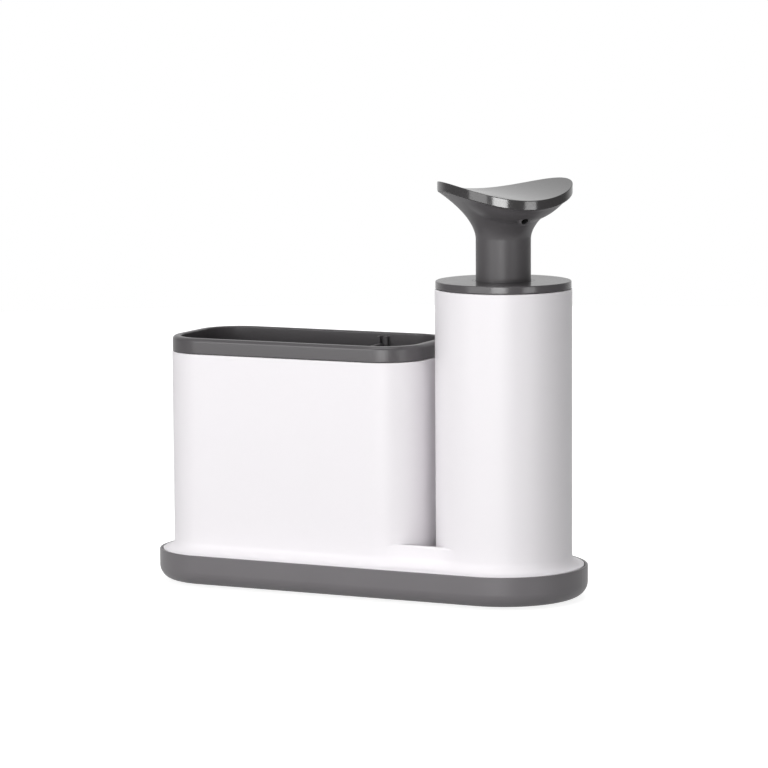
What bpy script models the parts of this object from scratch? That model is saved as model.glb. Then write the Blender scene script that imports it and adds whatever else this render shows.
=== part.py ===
# Soap dispenser in a bathroom caddy: a grey tray, a white body with a holder and a bottle in one
# moulding, a liner with a divider, and a press pump under a saddle-shaped head.
# Metres, +Z up. The origin is under the middle of the tray, on the surface it stands on, and +X runs
# from the holder to the pump.
from math import cos, pi, radians, sin, sqrt

import bmesh
import bpy
from mathutils import Matrix, Vector

mm = 0.001

# Fits shared by all pieces
gap = 0.3 * mm  # air between two pieces that touch
overrun = 3 * mm  # how far a cutter runs past the material it cuts
edge_break = 0.4 * mm  # small bevel on moulded edges
joint_sink = 1.5 * mm  # how deep one shape runs into the other before they are joined

# Fineness of round shapes
corner_steps = 8  # sides of a quarter round in plan
fillet_steps = 3  # sides of a small fillet
basin_steps = 5  # sides of a large rounding
wide_steps = 36  # sides of a wide turned piece
slim_steps = 20  # sides of a slim turned piece
head_steps = 36  # sides of the pump head
flare_rings = 9  # rings of the trumpet

# Tray
tray_side_margin = 7.5 * mm  # beyond the wider of holder and bottle
tray_corner = 31 * mm  # plan radius at the holder's end; the pump's end is a full round
tray_height = 14.9 * mm
tray_wall = 1.4 * mm
tray_floor = 2.4 * mm
tray_round = 10.5 * mm  # lower edge

# Rubber feet
foot_radius = 6 * mm
foot_proud = 1 * mm  # how far they stand out below the tray
foot_recess = 1.0 * mm
foot_setback = 26.5 * mm  # from the tray's end to a foot's centre
foot_side = 22.3 * mm  # from the tray's long side to a foot's centre

# White body: deck, web, holder and bottle
deck_rise = 0.3 * mm  # above the tray's rim
deck_wall = 2 * mm
deck_skirt = 1.5 * mm  # rim under the deck, inside the tray
deck_round = 0.5 * mm
tower_fillet = 4.8 * mm  # sweep from holder, bottle and web into the deck
web_rise = 10.3 * mm
web_wall = 2.2 * mm
web_setback = 4.5 * mm  # from the side of the bottle
web_round = 1 * mm
web_corner = 5 * mm
holder_length = 134 * mm
holder_width = 65 * mm
holder_corner = 21.5 * mm
holder_setback = 8.2 * mm  # from the tray's end
holder_rise = 97.1 * mm  # above the deck
holder_wall = 2.2 * mm
tower_gap = 3 * mm  # between the holder and the bottle
bottle_radius = 32.5 * mm
bottle_setback = 7.5 * mm  # from the tray's end
bottle_rise = 131.6 * mm
bottle_wall = 2.2 * mm
bottle_floor = 2.2 * mm
bottle_low_round = 5 * mm
bottle_inner_round = 3 * mm

# Liner of the holder and its divider
liner_rim_height = 7.4 * mm
liner_rim_round = 1.5 * mm
liner_rim_step = 0.22 * mm  # how far its outer face stands back from the white wall
liner_clearance = 10.2 * mm  # left under the liner, above the tray
liner_wall = 1.8 * mm
liner_floor = 2 * mm
liner_low_round = 3 * mm
divider_thick = 1.8 * mm
divider_setback = 40.5 * mm  # from the holder's end beside the bottle
divider_top_drop = 5.2 * mm  # below the liner's rim
divider_corner = 3.5 * mm
rib_thick = 1.6 * mm
rib_proud = 2 * mm
rib_top_drop = 1.9 * mm

# Bottle lid with the pump's well
lid_setback = 0.3 * mm  # from the bottle's side
lid_height = 3.5 * mm
lid_top_wall = 2.2 * mm
lid_bevel = 0.5 * mm
plug_length = 10 * mm
plug_wall = 3 * mm
groove_depth = 1.7 * mm
groove_height = 2.2 * mm
groove_drop = 4.1 * mm  # from the lid's underside to the groove
well_wall = 1.6 * mm
well_depth = 25.6 * mm
well_floor = 2.2 * mm
guide_ring_wall = 1.3 * mm
guide_ring_height = 2.5 * mm

# Pump cylinder, clamped in the well's floor
flange_reach = 2.5 * mm  # how far the flange stands out from the barrel
flange_thick = 2 * mm
barrel_radius = 8 * mm
barrel_wall = 1.4 * mm
seat_radius = 1.6 * mm
seat_land = 1.2 * mm
socket_depth = 10.2 * mm
socket_wall = 1.3 * mm
fin_thick = 0.8 * mm
fin_height = 2 * mm
fin_count = 3
fin_reach = 3.8 * mm
fin_clearance = 2.3 * mm  # left under the stem's collar when it is pressed
gasket_thick = 0.6 * mm
nut_reach = 3.2 * mm  # from the thread to a corner of the nut
nut_height = 4 * mm
ball_radius = 3 * mm
ball_lift = 1.5 * mm
dip_radius = 3 * mm
dip_wall = 1 * mm
dip_clearance = 5.1 * mm  # above the bottle's floor

# Stem, piston and spring
press_stroke = 12 * mm
stem_radius = 3.1 * mm
stem_bore = 1.6 * mm
stem_collar = 5 * mm
stem_upper_collar = 2 * mm
stem_lower_collar = 1.5 * mm
stem_entry = 1.5 * mm  # how far the stem reaches past the head's web
piston_height = 6 * mm
piston_waist = 0.8 * mm
piston_lip = 1.6 * mm
piston_slope = 0.6 * mm
guide_flange = 1.5 * mm
guide_margin = 0.5 * mm  # the guide's flange is this much smaller than the cylinder's
guide_plug = 4.7 * mm
spring_radius = 9 * mm
spring_wire = 0.6 * mm
spring_length = 25.7 * mm
spring_turns = 6
spring_turn_points = 12
spring_flat_share = 0.12  # of the whole wire, lying flat at each end

# Pump head
outlet_azimuth = radians(-43)
neck_radius = 13.05 * mm
neck_wall = 1.65 * mm
neck_rise = 19.7 * mm  # from the lid's top to the start of the trumpet
neck_clearance = 1.8 * mm  # left under the neck when it is pressed
web_thick = 3.5 * mm
trumpet_power = 1.81
trumpet_wall = 1.5 * mm
lobe_offset = 13.2 * mm  # belly that holds the outlet, an ellipsoid
lobe_along = 27.9 * mm
lobe_across = 29.6 * mm
lobe_down = 26.9 * mm
lobe_rise = 13.6 * mm  # from the middle of the plate's top to the ellipsoid's centre
plate_radius = 31.9 * mm
plate_overhang = 0.55 * mm  # beyond the trumpet
plate_shift = 2 * mm  # towards the outlet
plate_rise = 40.9 * mm  # from the lid's top to the middle of the plate
plate_lift = 6.86 * mm  # raised ends
plate_fall = 1 * mm  # towards the outlet
plate_wall = 1.8 * mm
plate_band = 4.4 * mm
plate_parting = 0.5 * mm  # seam between cover and trumpet
lip_wall = 1.4 * mm
lip_rise = 2 * mm
plate_ring_shares = (0.3, 0.6, 0.85)  # of the plate's radius

# Outlet channel
outlet_reach = 24.65 * mm  # from the pump's axis to the outlet's mouth
outlet_drop = 11 * mm  # from the plate's middle to the mouth
outlet_tilt = radians(35)
outlet_radius = 1.7 * mm
boss_radius = 3.7 * mm
boss_proud = 1 * mm
boss_length = 7 * mm
mouth_depth = 2.5 * mm  # from the mouth to the end of the channel's seat
channel_radius = 2.4 * mm
channel_bore = 1.6 * mm
channel_straight = 4.7 * mm
channel_bend = 8 * mm
channel_climb = 12 * mm
channel_points = 12
elbow_radius = 4.6 * mm
elbow_drop = 7 * mm  # below the head's web
elbow_flange = 2.4 * mm
elbow_flange_thick = 1.5 * mm
elbow_shoulder = 2.2 * mm

# Places worked out from the sizes above
tray_bottom = foot_proud
tray_top = tray_bottom + tray_height
tray_length = holder_setback + holder_length + tower_gap + 2 * bottle_radius + bottle_setback
tray_left = -tray_length / 2
tray_right = tray_length / 2
tray_half_width = max(holder_width / 2, bottle_radius) + tray_side_margin
pan_top = tray_bottom + tray_floor
deck_inset = tray_wall + gap
deck_top = tray_top + deck_rise
deck_bottom = deck_top - deck_wall - deck_skirt
pan_round = min(tray_round - tray_wall, deck_bottom - pan_top)
holder_left = tray_left + holder_setback
holder_right = holder_left + holder_length
holder_top = deck_top + holder_rise
pump_x = tray_right - bottle_setback - bottle_radius
bottle_bottom = pan_top + gap
bottle_floor_top = bottle_bottom + bottle_floor
bottle_bore = bottle_radius - bottle_wall
bottle_top = deck_top + bottle_rise
web_half_width = bottle_radius - web_setback
liner_inset = holder_wall + gap
liner_inner_inset = liner_inset + liner_wall
liner_rim_bottom = holder_top + gap
liner_top = liner_rim_bottom + liner_rim_height
liner_bottom = pan_top + liner_clearance
liner_floor_top = liner_bottom + liner_floor
liner_half_width = holder_width / 2 - liner_inner_inset
divider_x = holder_right - divider_setback
divider_top = liner_top - divider_top_drop

lid_radius = bottle_radius - lid_setback
lid_bottom = bottle_top + gap
lid_top = lid_bottom + lid_height
plug_radius = bottle_bore - gap
groove_radius = plug_radius - groove_depth
groove_top = lid_bottom - groove_drop
groove_bottom = groove_top - groove_height
guide_ring_bore = neck_radius + gap
guide_ring_radius = guide_ring_bore + guide_ring_wall
ring_seat = guide_ring_radius + gap
ring_seat_bottom = lid_top - guide_ring_height - 2 * gap
well_bore = neck_radius + gap + gap / 2
well_floor_top = lid_top - well_depth
well_floor_bottom = well_floor_top - well_floor
barrel_hole = barrel_radius + gap
barrel_bore = barrel_radius - barrel_wall
flange_radius = barrel_radius + flange_reach
gasket_bottom = well_floor_top + gap
gasket_top = gasket_bottom + gasket_thick
flange_bottom = gasket_top + gap
flange_top = flange_bottom + flange_thick
guide_bottom = flange_top + gap
guide_top = guide_bottom + guide_flange
guide_plug_bottom = guide_bottom - guide_plug

upper_collar_top = guide_plug_bottom - gap
upper_collar_bottom = upper_collar_top - stem_upper_collar
piston_top = upper_collar_bottom - gap
piston_bottom = piston_top - piston_height
piston_radius = barrel_bore - gap
lower_collar_top = piston_bottom - gap
lower_collar_bottom = lower_collar_top - stem_lower_collar
stem_hole = stem_radius + gap
fin_bottom = lower_collar_bottom - press_stroke - fin_clearance - fin_height
ball_z = fin_bottom - gap - ball_radius - ball_lift
cone_bottom = ball_z + seat_radius - (ball_radius + gap) * sqrt(2)
cone_top = cone_bottom + barrel_bore - seat_radius
socket_top = cone_bottom - seat_land
socket_bottom = socket_top - socket_depth
socket_bore = dip_radius + gap
socket_radius = socket_bore + socket_wall
dip_bottom = bottle_floor_top + dip_clearance
dip_top = socket_top - gap
spring_bottom = guide_top + gap
spring_top = spring_bottom + spring_length
web_bottom = spring_top + gap
web_top = web_bottom + web_thick
stem_top = web_bottom + stem_entry
neck_bottom = guide_top + press_stroke + neck_clearance
neck_bore = neck_radius - neck_wall
flare_bottom = lid_top + neck_rise
plate_z = lid_top + plate_rise
trumpet_radius = plate_radius - plate_overhang
trumpet_drop = plate_band + plate_parting
lobe_z = plate_z + lobe_rise
lip_radius = plate_radius - plate_wall - gap
elbow_hole = elbow_radius + gap
outlet_z = plate_z - outlet_drop
outlet_axis = Vector((cos(outlet_tilt), 0, -sin(outlet_tilt)))
outlet_mouth = Vector((outlet_reach, 0, outlet_z))

# Looks: colour, roughness, metallic
looks = {
    "grey_plastic": ((0.142, 0.134, 0.141, 1), 0.36, 0.0),
    "gloss_grey_plastic": ((0.086, 0.081, 0.085, 1), 0.28, 0.0),
    "dark_grey_plastic": ((0.087, 0.082, 0.086, 1), 0.28, 0.0),
    "polished_plastic": ((0.042, 0.04, 0.041, 1), 0.14, 0.0),
    "white_plastic": ((0.848, 0.824, 0.848, 1), 0.38, 0.0),
    "inner_plastic": ((0.76, 0.76, 0.73, 1), 0.42, 0.0),
    "clear_plastic": ((0.82, 0.85, 0.86, 1), 0.25, 0.0),
    "rubber": ((0.035, 0.035, 0.035, 1), 0.75, 0.0),
    "steel": ((0.6, 0.6, 0.58, 1), 0.28, 1.0),
}


def clear_scene():
    for obj in list(bpy.data.objects):
        bpy.data.objects.remove(obj)


def new_collection(name):
    found = bpy.data.collections.new(name)
    bpy.context.scene.collection.children.link(found)
    return found


def material_for(name, look):
    colour, roughness, metallic = looks[look]
    material = bpy.data.materials.new(name)
    material.use_nodes = True
    shader = material.node_tree.nodes["Principled BSDF"]
    shader.inputs["Base Color"].default_value = colour
    shader.inputs["Roughness"].default_value = roughness
    shader.inputs["Metallic"].default_value = metallic
    material.diffuse_color = colour
    return material


def add_part(name, mesh, look, place=(0, 0, 0), turn=0, parent=None):
    """A visible piece, smooth on its rounds and sharp on its edges."""
    obj = bpy.data.objects.new(name, mesh)
    parts.objects.link(obj)
    obj.location = place
    obj.rotation_euler = (0, 0, turn)
    obj.parent = parent
    mesh.materials.append(material_for(name, look))
    mesh.shade_smooth()
    mesh.set_sharp_from_angle(angle=radians(35))
    return obj


def add_cutter(name, mesh, place=(0, 0, 0), turn=0):
    """A helper shape that is only cut away from a piece or joined to it."""
    obj = bpy.data.objects.new(name, mesh)
    cutters.objects.link(obj)
    obj.location = place
    obj.rotation_euler = (0, 0, turn)
    obj.hide_render = True
    obj.display_type = "WIRE"
    return obj


def combine(obj, other, operation):
    step = obj.modifiers.new(f"{operation.lower()}_{other.name}", "BOOLEAN")
    step.operation = operation
    step.solver = "EXACT"
    step.object = other


def outline(left, right, half_width, left_corner, right_corner, inset):
    """Points round a rounded rectangle, moved inwards by the inset, at right angles to its edge."""
    corners = (
        (right, half_width, right_corner, 0),
        (left, half_width, left_corner, pi / 2),
        (left, -half_width, left_corner, pi),
        (right, -half_width, right_corner, 3 * pi / 2),
    )
    points = []
    for x, y, radius, start in corners:
        centre_x = x - radius if x == right else x + radius
        centre_y = y - radius if y > 0 else y + radius
        for step in range(corner_steps + 1):
            angle = start + pi / 2 * step / corner_steps
            reach = radius - inset
            points.append((centre_x + reach * cos(angle), centre_y + reach * sin(angle)))
    return points


def tray_outline(inset):
    # The full round's two quarters share the tray's tip, so they stop a hair short of each other.
    right_corner = tray_half_width - edge_break / 2
    return outline(tray_left, tray_right, tray_half_width, tray_corner, right_corner, inset)


def holder_outline(inset):
    return outline(holder_left, holder_right, holder_width / 2, holder_corner, holder_corner, inset)


def web_outline(inset):
    left = holder_right - holder_corner + holder_wall * 4
    right = pump_x - bottle_wall * 4
    return outline(left, right, web_half_width, web_corner, web_corner, inset)


def level_loop(points, z):
    return [Vector((x, y, z)) for x, y in points]


def loft(name, loops, ring=False):
    """Closed skin through loops of equal length; a ring joins its last loop to its first."""
    mesh = bpy.data.meshes.new(name)
    shape = bmesh.new()
    rows = [[shape.verts.new(point) for point in loop] for loop in loops]
    following = rows[1:] + rows[:1] if ring else rows[1:]
    for low, high in zip(rows, following):
        for step in range(len(low)):
            past = (step + 1) % len(low)
            shape.faces.new((low[step], low[past], high[past], high[step]))
    if not ring:
        shape.faces.new(rows[0])
        shape.faces.new(rows[-1])
    bmesh.ops.recalc_face_normals(shape, faces=shape.faces)
    shape.to_mesh(mesh)
    shape.free()
    return mesh


def quarter_round(inset, z, size, steps, turn_in, upwards):
    """(inset, z) pairs along a quarter circle that starts on a wall and ends on a flat."""
    pairs = []
    for step in range(steps + 1):
        angle = pi / 2 * step / steps
        across = size * (1 - cos(angle))
        along = size * sin(angle)
        pairs.append((inset + turn_in * across, z + upwards * along))
    return pairs


def turned(name, profile, steps):
    """Mesh of a closed profile of (radius, z) pairs turned round Z."""
    mesh = bpy.data.meshes.new(name)
    shape = bmesh.new()
    corners = [shape.verts.new((radius, 0, z)) for radius, z in profile]
    on_axis = profile[0][0] == 0
    for first, second in zip(corners, corners[1:]):
        shape.edges.new((first, second))
    if not on_axis:
        shape.edges.new((corners[-1], corners[0]))
    bmesh.ops.spin(
        shape,
        geom=shape.verts[:] + shape.edges[:],
        axis=(0, 0, 1),
        cent=(0, 0, 0),
        angle=2 * pi,
        steps=steps,
        use_merge=True,
    )
    bmesh.ops.remove_doubles(shape, verts=shape.verts, dist=gap / 100)
    bmesh.ops.recalc_face_normals(shape, faces=shape.faces)
    shape.to_mesh(mesh)
    shape.free()
    return mesh


def washer(name, inner, outer, bottom, top, steps):
    profile = ((inner, top), (outer, top), (outer, bottom), (inner, bottom))
    return turned(name, profile, steps)


def rod(name, start, end, radius, steps):
    """Round bar between two points."""
    mesh = bpy.data.meshes.new(name)
    shape = bmesh.new()
    way = end - start
    turn = way.to_track_quat("Z", "Y").to_matrix().to_4x4()
    bmesh.ops.create_cone(
        shape,
        cap_ends=True,
        segments=steps,
        radius1=radius,
        radius2=radius,
        depth=way.length,
        matrix=Matrix.Translation((start + end) / 2) @ turn,
    )
    shape.to_mesh(mesh)
    shape.free()
    return mesh


def block(name, low, high):
    """Box between two corners."""
    mesh = bpy.data.meshes.new(name)
    shape = bmesh.new()
    size = Vector(high) - Vector(low)
    middle = (Vector(high) + Vector(low)) / 2
    scale = Matrix.Diagonal((*size, 1))
    bmesh.ops.create_cube(shape, size=1, matrix=Matrix.Translation(middle) @ scale)
    shape.to_mesh(mesh)
    shape.free()
    return mesh


def joined(name, meshes):
    """Several closed shapes in one mesh, for cutters."""
    mesh = bpy.data.meshes.new(name)
    shape = bmesh.new()
    for piece in meshes:
        shape.from_mesh(piece)
    shape.to_mesh(mesh)
    shape.free()
    return mesh


def pipe(name, points, radius, fineness):
    """Mesh of a round wire along points, with welded caps."""
    curve = bpy.data.curves.new(name, "CURVE")
    curve.dimensions = "3D"
    curve.bevel_depth = radius
    curve.bevel_resolution = fineness
    curve.use_fill_caps = True
    spline = curve.splines.new("POLY")
    spline.points.add(len(points) - 1)
    for target, point in zip(spline.points, points):
        target.co = (*point, 1)
    guide = bpy.data.objects.new(name, curve)
    cutters.objects.link(guide)
    bpy.context.view_layer.update()
    evaluated = guide.evaluated_get(bpy.context.evaluated_depsgraph_get())
    mesh = bpy.data.meshes.new_from_object(evaluated)
    shape = bmesh.new()
    shape.from_mesh(mesh)
    bmesh.ops.remove_doubles(shape, verts=shape.verts, dist=gap / 100)
    bmesh.ops.recalc_face_normals(shape, faces=shape.faces)
    shape.to_mesh(mesh)
    shape.free()
    bpy.data.objects.remove(guide)
    return mesh


def make_tray():
    rounding = quarter_round(0, tray_bottom + tray_round, tray_round, basin_steps, 1, -1)
    pairs = list(reversed(rounding))
    pairs += [(0, tray_top - edge_break), (edge_break, tray_top)]
    pairs += [(tray_wall - edge_break, tray_top), (tray_wall, tray_top - edge_break)]
    pairs += quarter_round(tray_wall, pan_top + pan_round, pan_round, basin_steps, 1, -1)
    loops = [level_loop(tray_outline(inset), z) for inset, z in pairs]
    tray = add_part("base_tray", loft("base_tray", loops), "grey_plastic")
    recess_top = tray_bottom + foot_recess
    recesses = []
    for x, y in foot_places():
        low = Vector((x, y, tray_bottom - overrun))
        high = Vector((x, y, recess_top))
        recesses.append(rod("foot_recess", low, high, foot_radius + gap, slim_steps))
    combine(tray, add_cutter("foot_recesses", joined("foot_recesses", recesses)), "DIFFERENCE")


def foot_places():
    x = tray_length / 2 - foot_setback
    y = tray_half_width - foot_side
    return [(-x, -y), (x, -y), (-x, y), (x, y)]


def make_feet():
    names = ("foot_front_left", "foot_front_right", "foot_back_left", "foot_back_right")
    top = foot_proud + foot_recess - gap
    profile = (
        (0, top),
        (foot_radius, top),
        (foot_radius, edge_break),
        (foot_radius - edge_break, 0),
        (0, 0),
    )
    for name, (x, y) in zip(names, foot_places()):
        add_part(name, turned(name, profile, slim_steps), "rubber", (x, y, 0))


def tower_pairs(top, top_round):
    """(inset, z) pairs up a wall that sweeps out into the deck and is rounded at its top."""
    pairs = [(-tower_fillet, deck_top - joint_sink)]
    foot = quarter_round(0, deck_top + tower_fillet, tower_fillet, fillet_steps, -1, -1)
    pairs += reversed(foot)
    pairs += quarter_round(0, top - top_round, top_round, fillet_steps, 1, 1)
    return pairs


def web_frame():
    """Low wall round the space between holder and bottle, open at the top."""
    top = deck_top + web_rise
    pairs = tower_pairs(top, web_round)
    pairs += [(web_wall - edge_break, top), (web_wall, top - edge_break)]
    pairs += [(web_wall, deck_top - joint_sink)]
    loops = [level_loop(web_outline(inset), z) for inset, z in pairs]
    return loft("web_frame", loops, ring=True)


def make_body_shell():
    ceiling = deck_top - deck_wall
    inner = deck_inset + deck_wall
    pairs = [(inner, ceiling), (inner, deck_bottom), (deck_inset, deck_bottom)]
    pairs += quarter_round(deck_inset, deck_top - deck_round, deck_round, fillet_steps, 1, 1)
    loops = [level_loop(tray_outline(inset), z) for inset, z in pairs]
    shell = add_part("body_shell", loft("body_shell", loops), "white_plastic")

    combine(shell, add_cutter("web_frame", web_frame()), "UNION")
    tower = tower_pairs(holder_top, edge_break)
    holder = loft("holder_tower", [level_loop(holder_outline(inset), z) for inset, z in tower])
    combine(shell, add_cutter("holder_tower", holder), "UNION")
    combine(shell, add_cutter("bottle_tower", bottle_body(), (pump_x, 0, 0)), "UNION")

    inside = holder_outline(holder_wall)
    levels = (ceiling - overrun, holder_top + overrun)
    cavity = loft("holder_cavity", [level_loop(inside, z) for z in levels])
    combine(shell, add_cutter("holder_cavity", cavity), "DIFFERENCE")
    combine(shell, add_cutter("bottle_cavity", bottle_cavity(), (pump_x, 0, 0)), "DIFFERENCE")


def bottle_body():
    low = quarter_round(bottle_radius, bottle_bottom + bottle_low_round, bottle_low_round,
                        fillet_steps, -1, -1)
    profile = [(0, bottle_top), (bottle_radius - edge_break, bottle_top)]
    profile += [(bottle_radius, bottle_top - edge_break)]
    profile += quarter_round(bottle_radius, deck_top + tower_fillet, tower_fillet,
                             fillet_steps, 1, -1)
    profile += [(bottle_radius + tower_fillet, deck_top - joint_sink)]
    profile += [(bottle_radius, deck_top - joint_sink)]
    profile += low
    profile += [(0, bottle_bottom)]
    return turned("bottle_tower", profile, wide_steps)


def bottle_cavity():
    top = bottle_top + overrun
    profile = [(0, top), (bottle_bore, top)]
    profile += quarter_round(bottle_bore, bottle_floor_top + bottle_inner_round,
                             bottle_inner_round, fillet_steps, -1, -1)
    profile += [(0, bottle_floor_top)]
    return turned("bottle_cavity", profile, wide_steps)


def make_liner():
    outer_low = quarter_round(liner_inset, liner_bottom + liner_low_round, liner_low_round,
                              fillet_steps, 1, -1)
    pairs = list(reversed(outer_low))
    pairs += [(liner_inset, liner_rim_bottom), (liner_rim_step, liner_rim_bottom)]
    pairs += quarter_round(liner_rim_step, liner_top - liner_rim_round, liner_rim_round,
                           fillet_steps, 1, 1)
    pairs += [(liner_inner_inset - edge_break, liner_top)]
    pairs += [(liner_inner_inset, liner_top - edge_break)]
    pairs += quarter_round(liner_inner_inset, liner_floor_top + liner_low_round,
                           liner_low_round, fillet_steps, 1, -1)
    loops = [level_loop(holder_outline(inset), z) for inset, z in pairs]
    liner = add_part("holder_liner", loft("holder_liner", loops), "gloss_grey_plastic")
    combine(liner, add_cutter("divider_ribs", divider_ribs()), "UNION")


def divider_ribs():
    """Two pairs of upright ribs that hold the divider's edges."""
    near = divider_thick / 2 + gap
    far = near + rib_thick
    bottom = liner_floor_top - liner_floor / 2
    top = liner_top - rib_top_drop
    reach_in = liner_half_width - rib_proud
    reach_out = liner_half_width + liner_wall / 2
    ribs = []
    for side in (-1, 1):
        for face in (-1, 1):
            xs = sorted((divider_x + face * near, divider_x + face * far))
            ys = sorted((side * reach_in, side * reach_out))
            ribs.append(block("rib", (xs[0], ys[0], bottom), (xs[1], ys[1], top)))
    return joined("divider_ribs", ribs)


def make_divider():
    half_width = liner_half_width - gap
    bottom = liner_floor_top + gap
    centre_z = (bottom + divider_top) / 2
    half_height = (divider_top - bottom) / 2
    plan = outline(-half_height, half_height, half_width, divider_corner, divider_corner, 0)
    loops = []
    for x in (-divider_thick / 2, divider_thick / 2):
        loops.append([Vector((x, y, z)) for z, y in plan])
    mesh = loft("liner_divider", loops)
    add_part("liner_divider", mesh, "gloss_grey_plastic", (divider_x, 0, centre_z))


def make_lid():
    plug_inner = plug_radius - plug_wall
    well_radius = well_bore + well_wall
    under = lid_top - lid_top_wall
    plug_bottom = lid_bottom - plug_length
    profile = (
        (barrel_hole, well_floor_top),
        (well_bore, well_floor_top),
        (well_bore, ring_seat_bottom),
        (ring_seat, ring_seat_bottom),
        (ring_seat, lid_top),
        (lid_radius - lid_bevel, lid_top),
        (lid_radius, lid_top - lid_bevel),
        (lid_radius, lid_bottom),
        (plug_radius, lid_bottom),
        (plug_radius, groove_top),
        (groove_radius, groove_top),
        (groove_radius, groove_bottom),
        (plug_radius, groove_bottom),
        (plug_radius, plug_bottom + edge_break),
        (plug_radius - edge_break, plug_bottom),
        (plug_inner, plug_bottom),
        (plug_inner, under),
        (well_radius, under),
        (well_radius, well_floor_bottom),
        (barrel_hole, well_floor_bottom),
    )
    mesh = turned("bottle_lid", profile, wide_steps)
    add_part("bottle_lid", mesh, "dark_grey_plastic", parent=pump_axis)


def make_lid_seal():
    thick = (plug_radius - groove_radius - gap) / 2
    middle = plug_radius - thick
    centre_z = (groove_top + groove_bottom) / 2
    profile = []
    for step in range(fillet_steps * 2):
        angle = -pi * step / fillet_steps
        profile.append((middle + thick * cos(angle), centre_z + thick * sin(angle)))
    add_part("lid_seal", turned("lid_seal", profile, wide_steps), "rubber", parent=pump_axis)


def make_neck_guide():
    top = lid_top - gap
    bottom = ring_seat_bottom + gap
    mesh = washer("neck_guide", guide_ring_bore, guide_ring_radius, bottom, top, wide_steps)
    add_part("neck_guide", mesh, "dark_grey_plastic", parent=pump_axis)


def make_pump_housing():
    profile = (
        (barrel_bore, flange_top),
        (flange_radius, flange_top),
        (flange_radius, flange_bottom),
        (barrel_radius, flange_bottom),
        (barrel_radius, cone_top - barrel_wall / 2),
        (socket_radius, socket_top),
        (socket_radius, socket_bottom),
        (socket_bore, socket_bottom),
        (socket_bore, socket_top),
        (seat_radius, socket_top),
        (seat_radius, cone_bottom),
        (barrel_bore, cone_top),
    )
    mesh = turned("pump_housing", profile, slim_steps)
    housing = add_part("pump_housing", mesh, "inner_plastic", parent=pump_axis)
    fins = []
    for step in range(fin_count):
        low = (barrel_bore - fin_reach, -fin_thick / 2, fin_bottom)
        high = (barrel_bore + barrel_wall / 2, fin_thick / 2, fin_bottom + fin_height)
        fin = block("fin", low, high)
        fin.transform(Matrix.Rotation(2 * pi * step / fin_count, 4, "Z"))
        fins.append(fin)
    combine(housing, add_cutter("ball_fins", joined("ball_fins", fins), (pump_x, 0, 0)), "UNION")


def make_housing_clamp():
    mesh = washer("housing_gasket", barrel_hole, flange_radius, gasket_bottom, gasket_top,
                  slim_steps)
    add_part("housing_gasket", mesh, "rubber", parent=pump_axis)
    top = well_floor_bottom - gap
    low = Vector((0, 0, top - nut_height))
    high = Vector((0, 0, top))
    nut_mesh = rod("housing_nut", low, high, barrel_hole + nut_reach, 6)
    nut = add_part("housing_nut", nut_mesh, "inner_plastic", parent=pump_axis)
    low.z -= overrun
    high.z += overrun
    hole = rod("nut_hole", low, high, barrel_hole, slim_steps)
    combine(nut, add_cutter("nut_hole", hole, (pump_x, 0, 0)), "DIFFERENCE")


def make_inlet_ball():
    mesh = bpy.data.meshes.new("inlet_ball")
    shape = bmesh.new()
    bmesh.ops.create_uvsphere(shape, u_segments=12, v_segments=8, radius=ball_radius)
    shape.to_mesh(mesh)
    shape.free()
    add_part("inlet_ball", mesh, "steel", (0, 0, ball_z), parent=pump_axis)


def make_dip_tube():
    mesh = washer("dip_tube", dip_radius - dip_wall, dip_radius, dip_bottom, dip_top, slim_steps)
    add_part("dip_tube", mesh, "clear_plastic", parent=pump_axis)


def make_stem():
    profile = (
        (stem_bore, stem_top),
        (stem_radius, stem_top),
        (stem_radius, upper_collar_top),
        (stem_collar, upper_collar_top),
        (stem_collar, upper_collar_bottom),
        (stem_radius, upper_collar_bottom),
        (stem_radius, lower_collar_top),
        (stem_collar, lower_collar_top),
        (stem_collar, lower_collar_bottom),
        (stem_bore, lower_collar_bottom),
    )
    mesh = turned("pump_stem", profile, slim_steps)
    add_part("pump_stem", mesh, "inner_plastic", parent=pump_axis)


def make_piston():
    waist = piston_radius - piston_waist
    upper = piston_top - piston_lip
    lower = piston_bottom + piston_lip
    profile = (
        (stem_hole, piston_top),
        (piston_radius, piston_top),
        (piston_radius, upper),
        (waist, upper - piston_slope),
        (waist, lower + piston_slope),
        (piston_radius, lower),
        (piston_radius, piston_bottom),
        (stem_hole, piston_bottom),
    )
    mesh = turned("pump_piston", profile, slim_steps)
    add_part("pump_piston", mesh, "rubber", parent=pump_axis)


def make_stem_guide():
    flange = flange_radius - guide_margin
    profile = (
        (stem_hole, guide_top),
        (flange, guide_top),
        (flange, guide_bottom),
        (piston_radius, guide_bottom),
        (piston_radius, guide_plug_bottom),
        (stem_hole, guide_plug_bottom),
    )
    mesh = turned("stem_guide", profile, slim_steps)
    add_part("stem_guide", mesh, "inner_plastic", parent=pump_axis)


def make_spring():
    count = spring_turns * spring_turn_points
    climb = spring_length - 2 * spring_wire
    middle_radius = spring_radius - spring_wire
    points = []
    for step in range(count + 1):
        share = step / count
        rise = min(max((share - spring_flat_share) / (1 - 2 * spring_flat_share), 0), 1)
        angle = 2 * pi * step / spring_turn_points
        z = spring_bottom + spring_wire + climb * rise
        points.append(Vector((middle_radius * cos(angle), middle_radius * sin(angle), z)))
    mesh = pipe("return_spring", points, spring_wire, 2)
    add_part("return_spring", mesh, "steel", parent=pump_axis)


def plate_height(x, y):
    """Top of the press plate, in the head's own frame: +X towards the outlet."""
    return plate_z + plate_lift * (y / plate_radius) ** 2 - plate_fall * x / plate_radius


def plate_reach(angle, radius):
    """Distance from the pump's axis to a circle round the plate's own centre."""
    across = plate_shift * sin(angle)
    return plate_shift * cos(angle) + sqrt(radius**2 - across**2)


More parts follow.
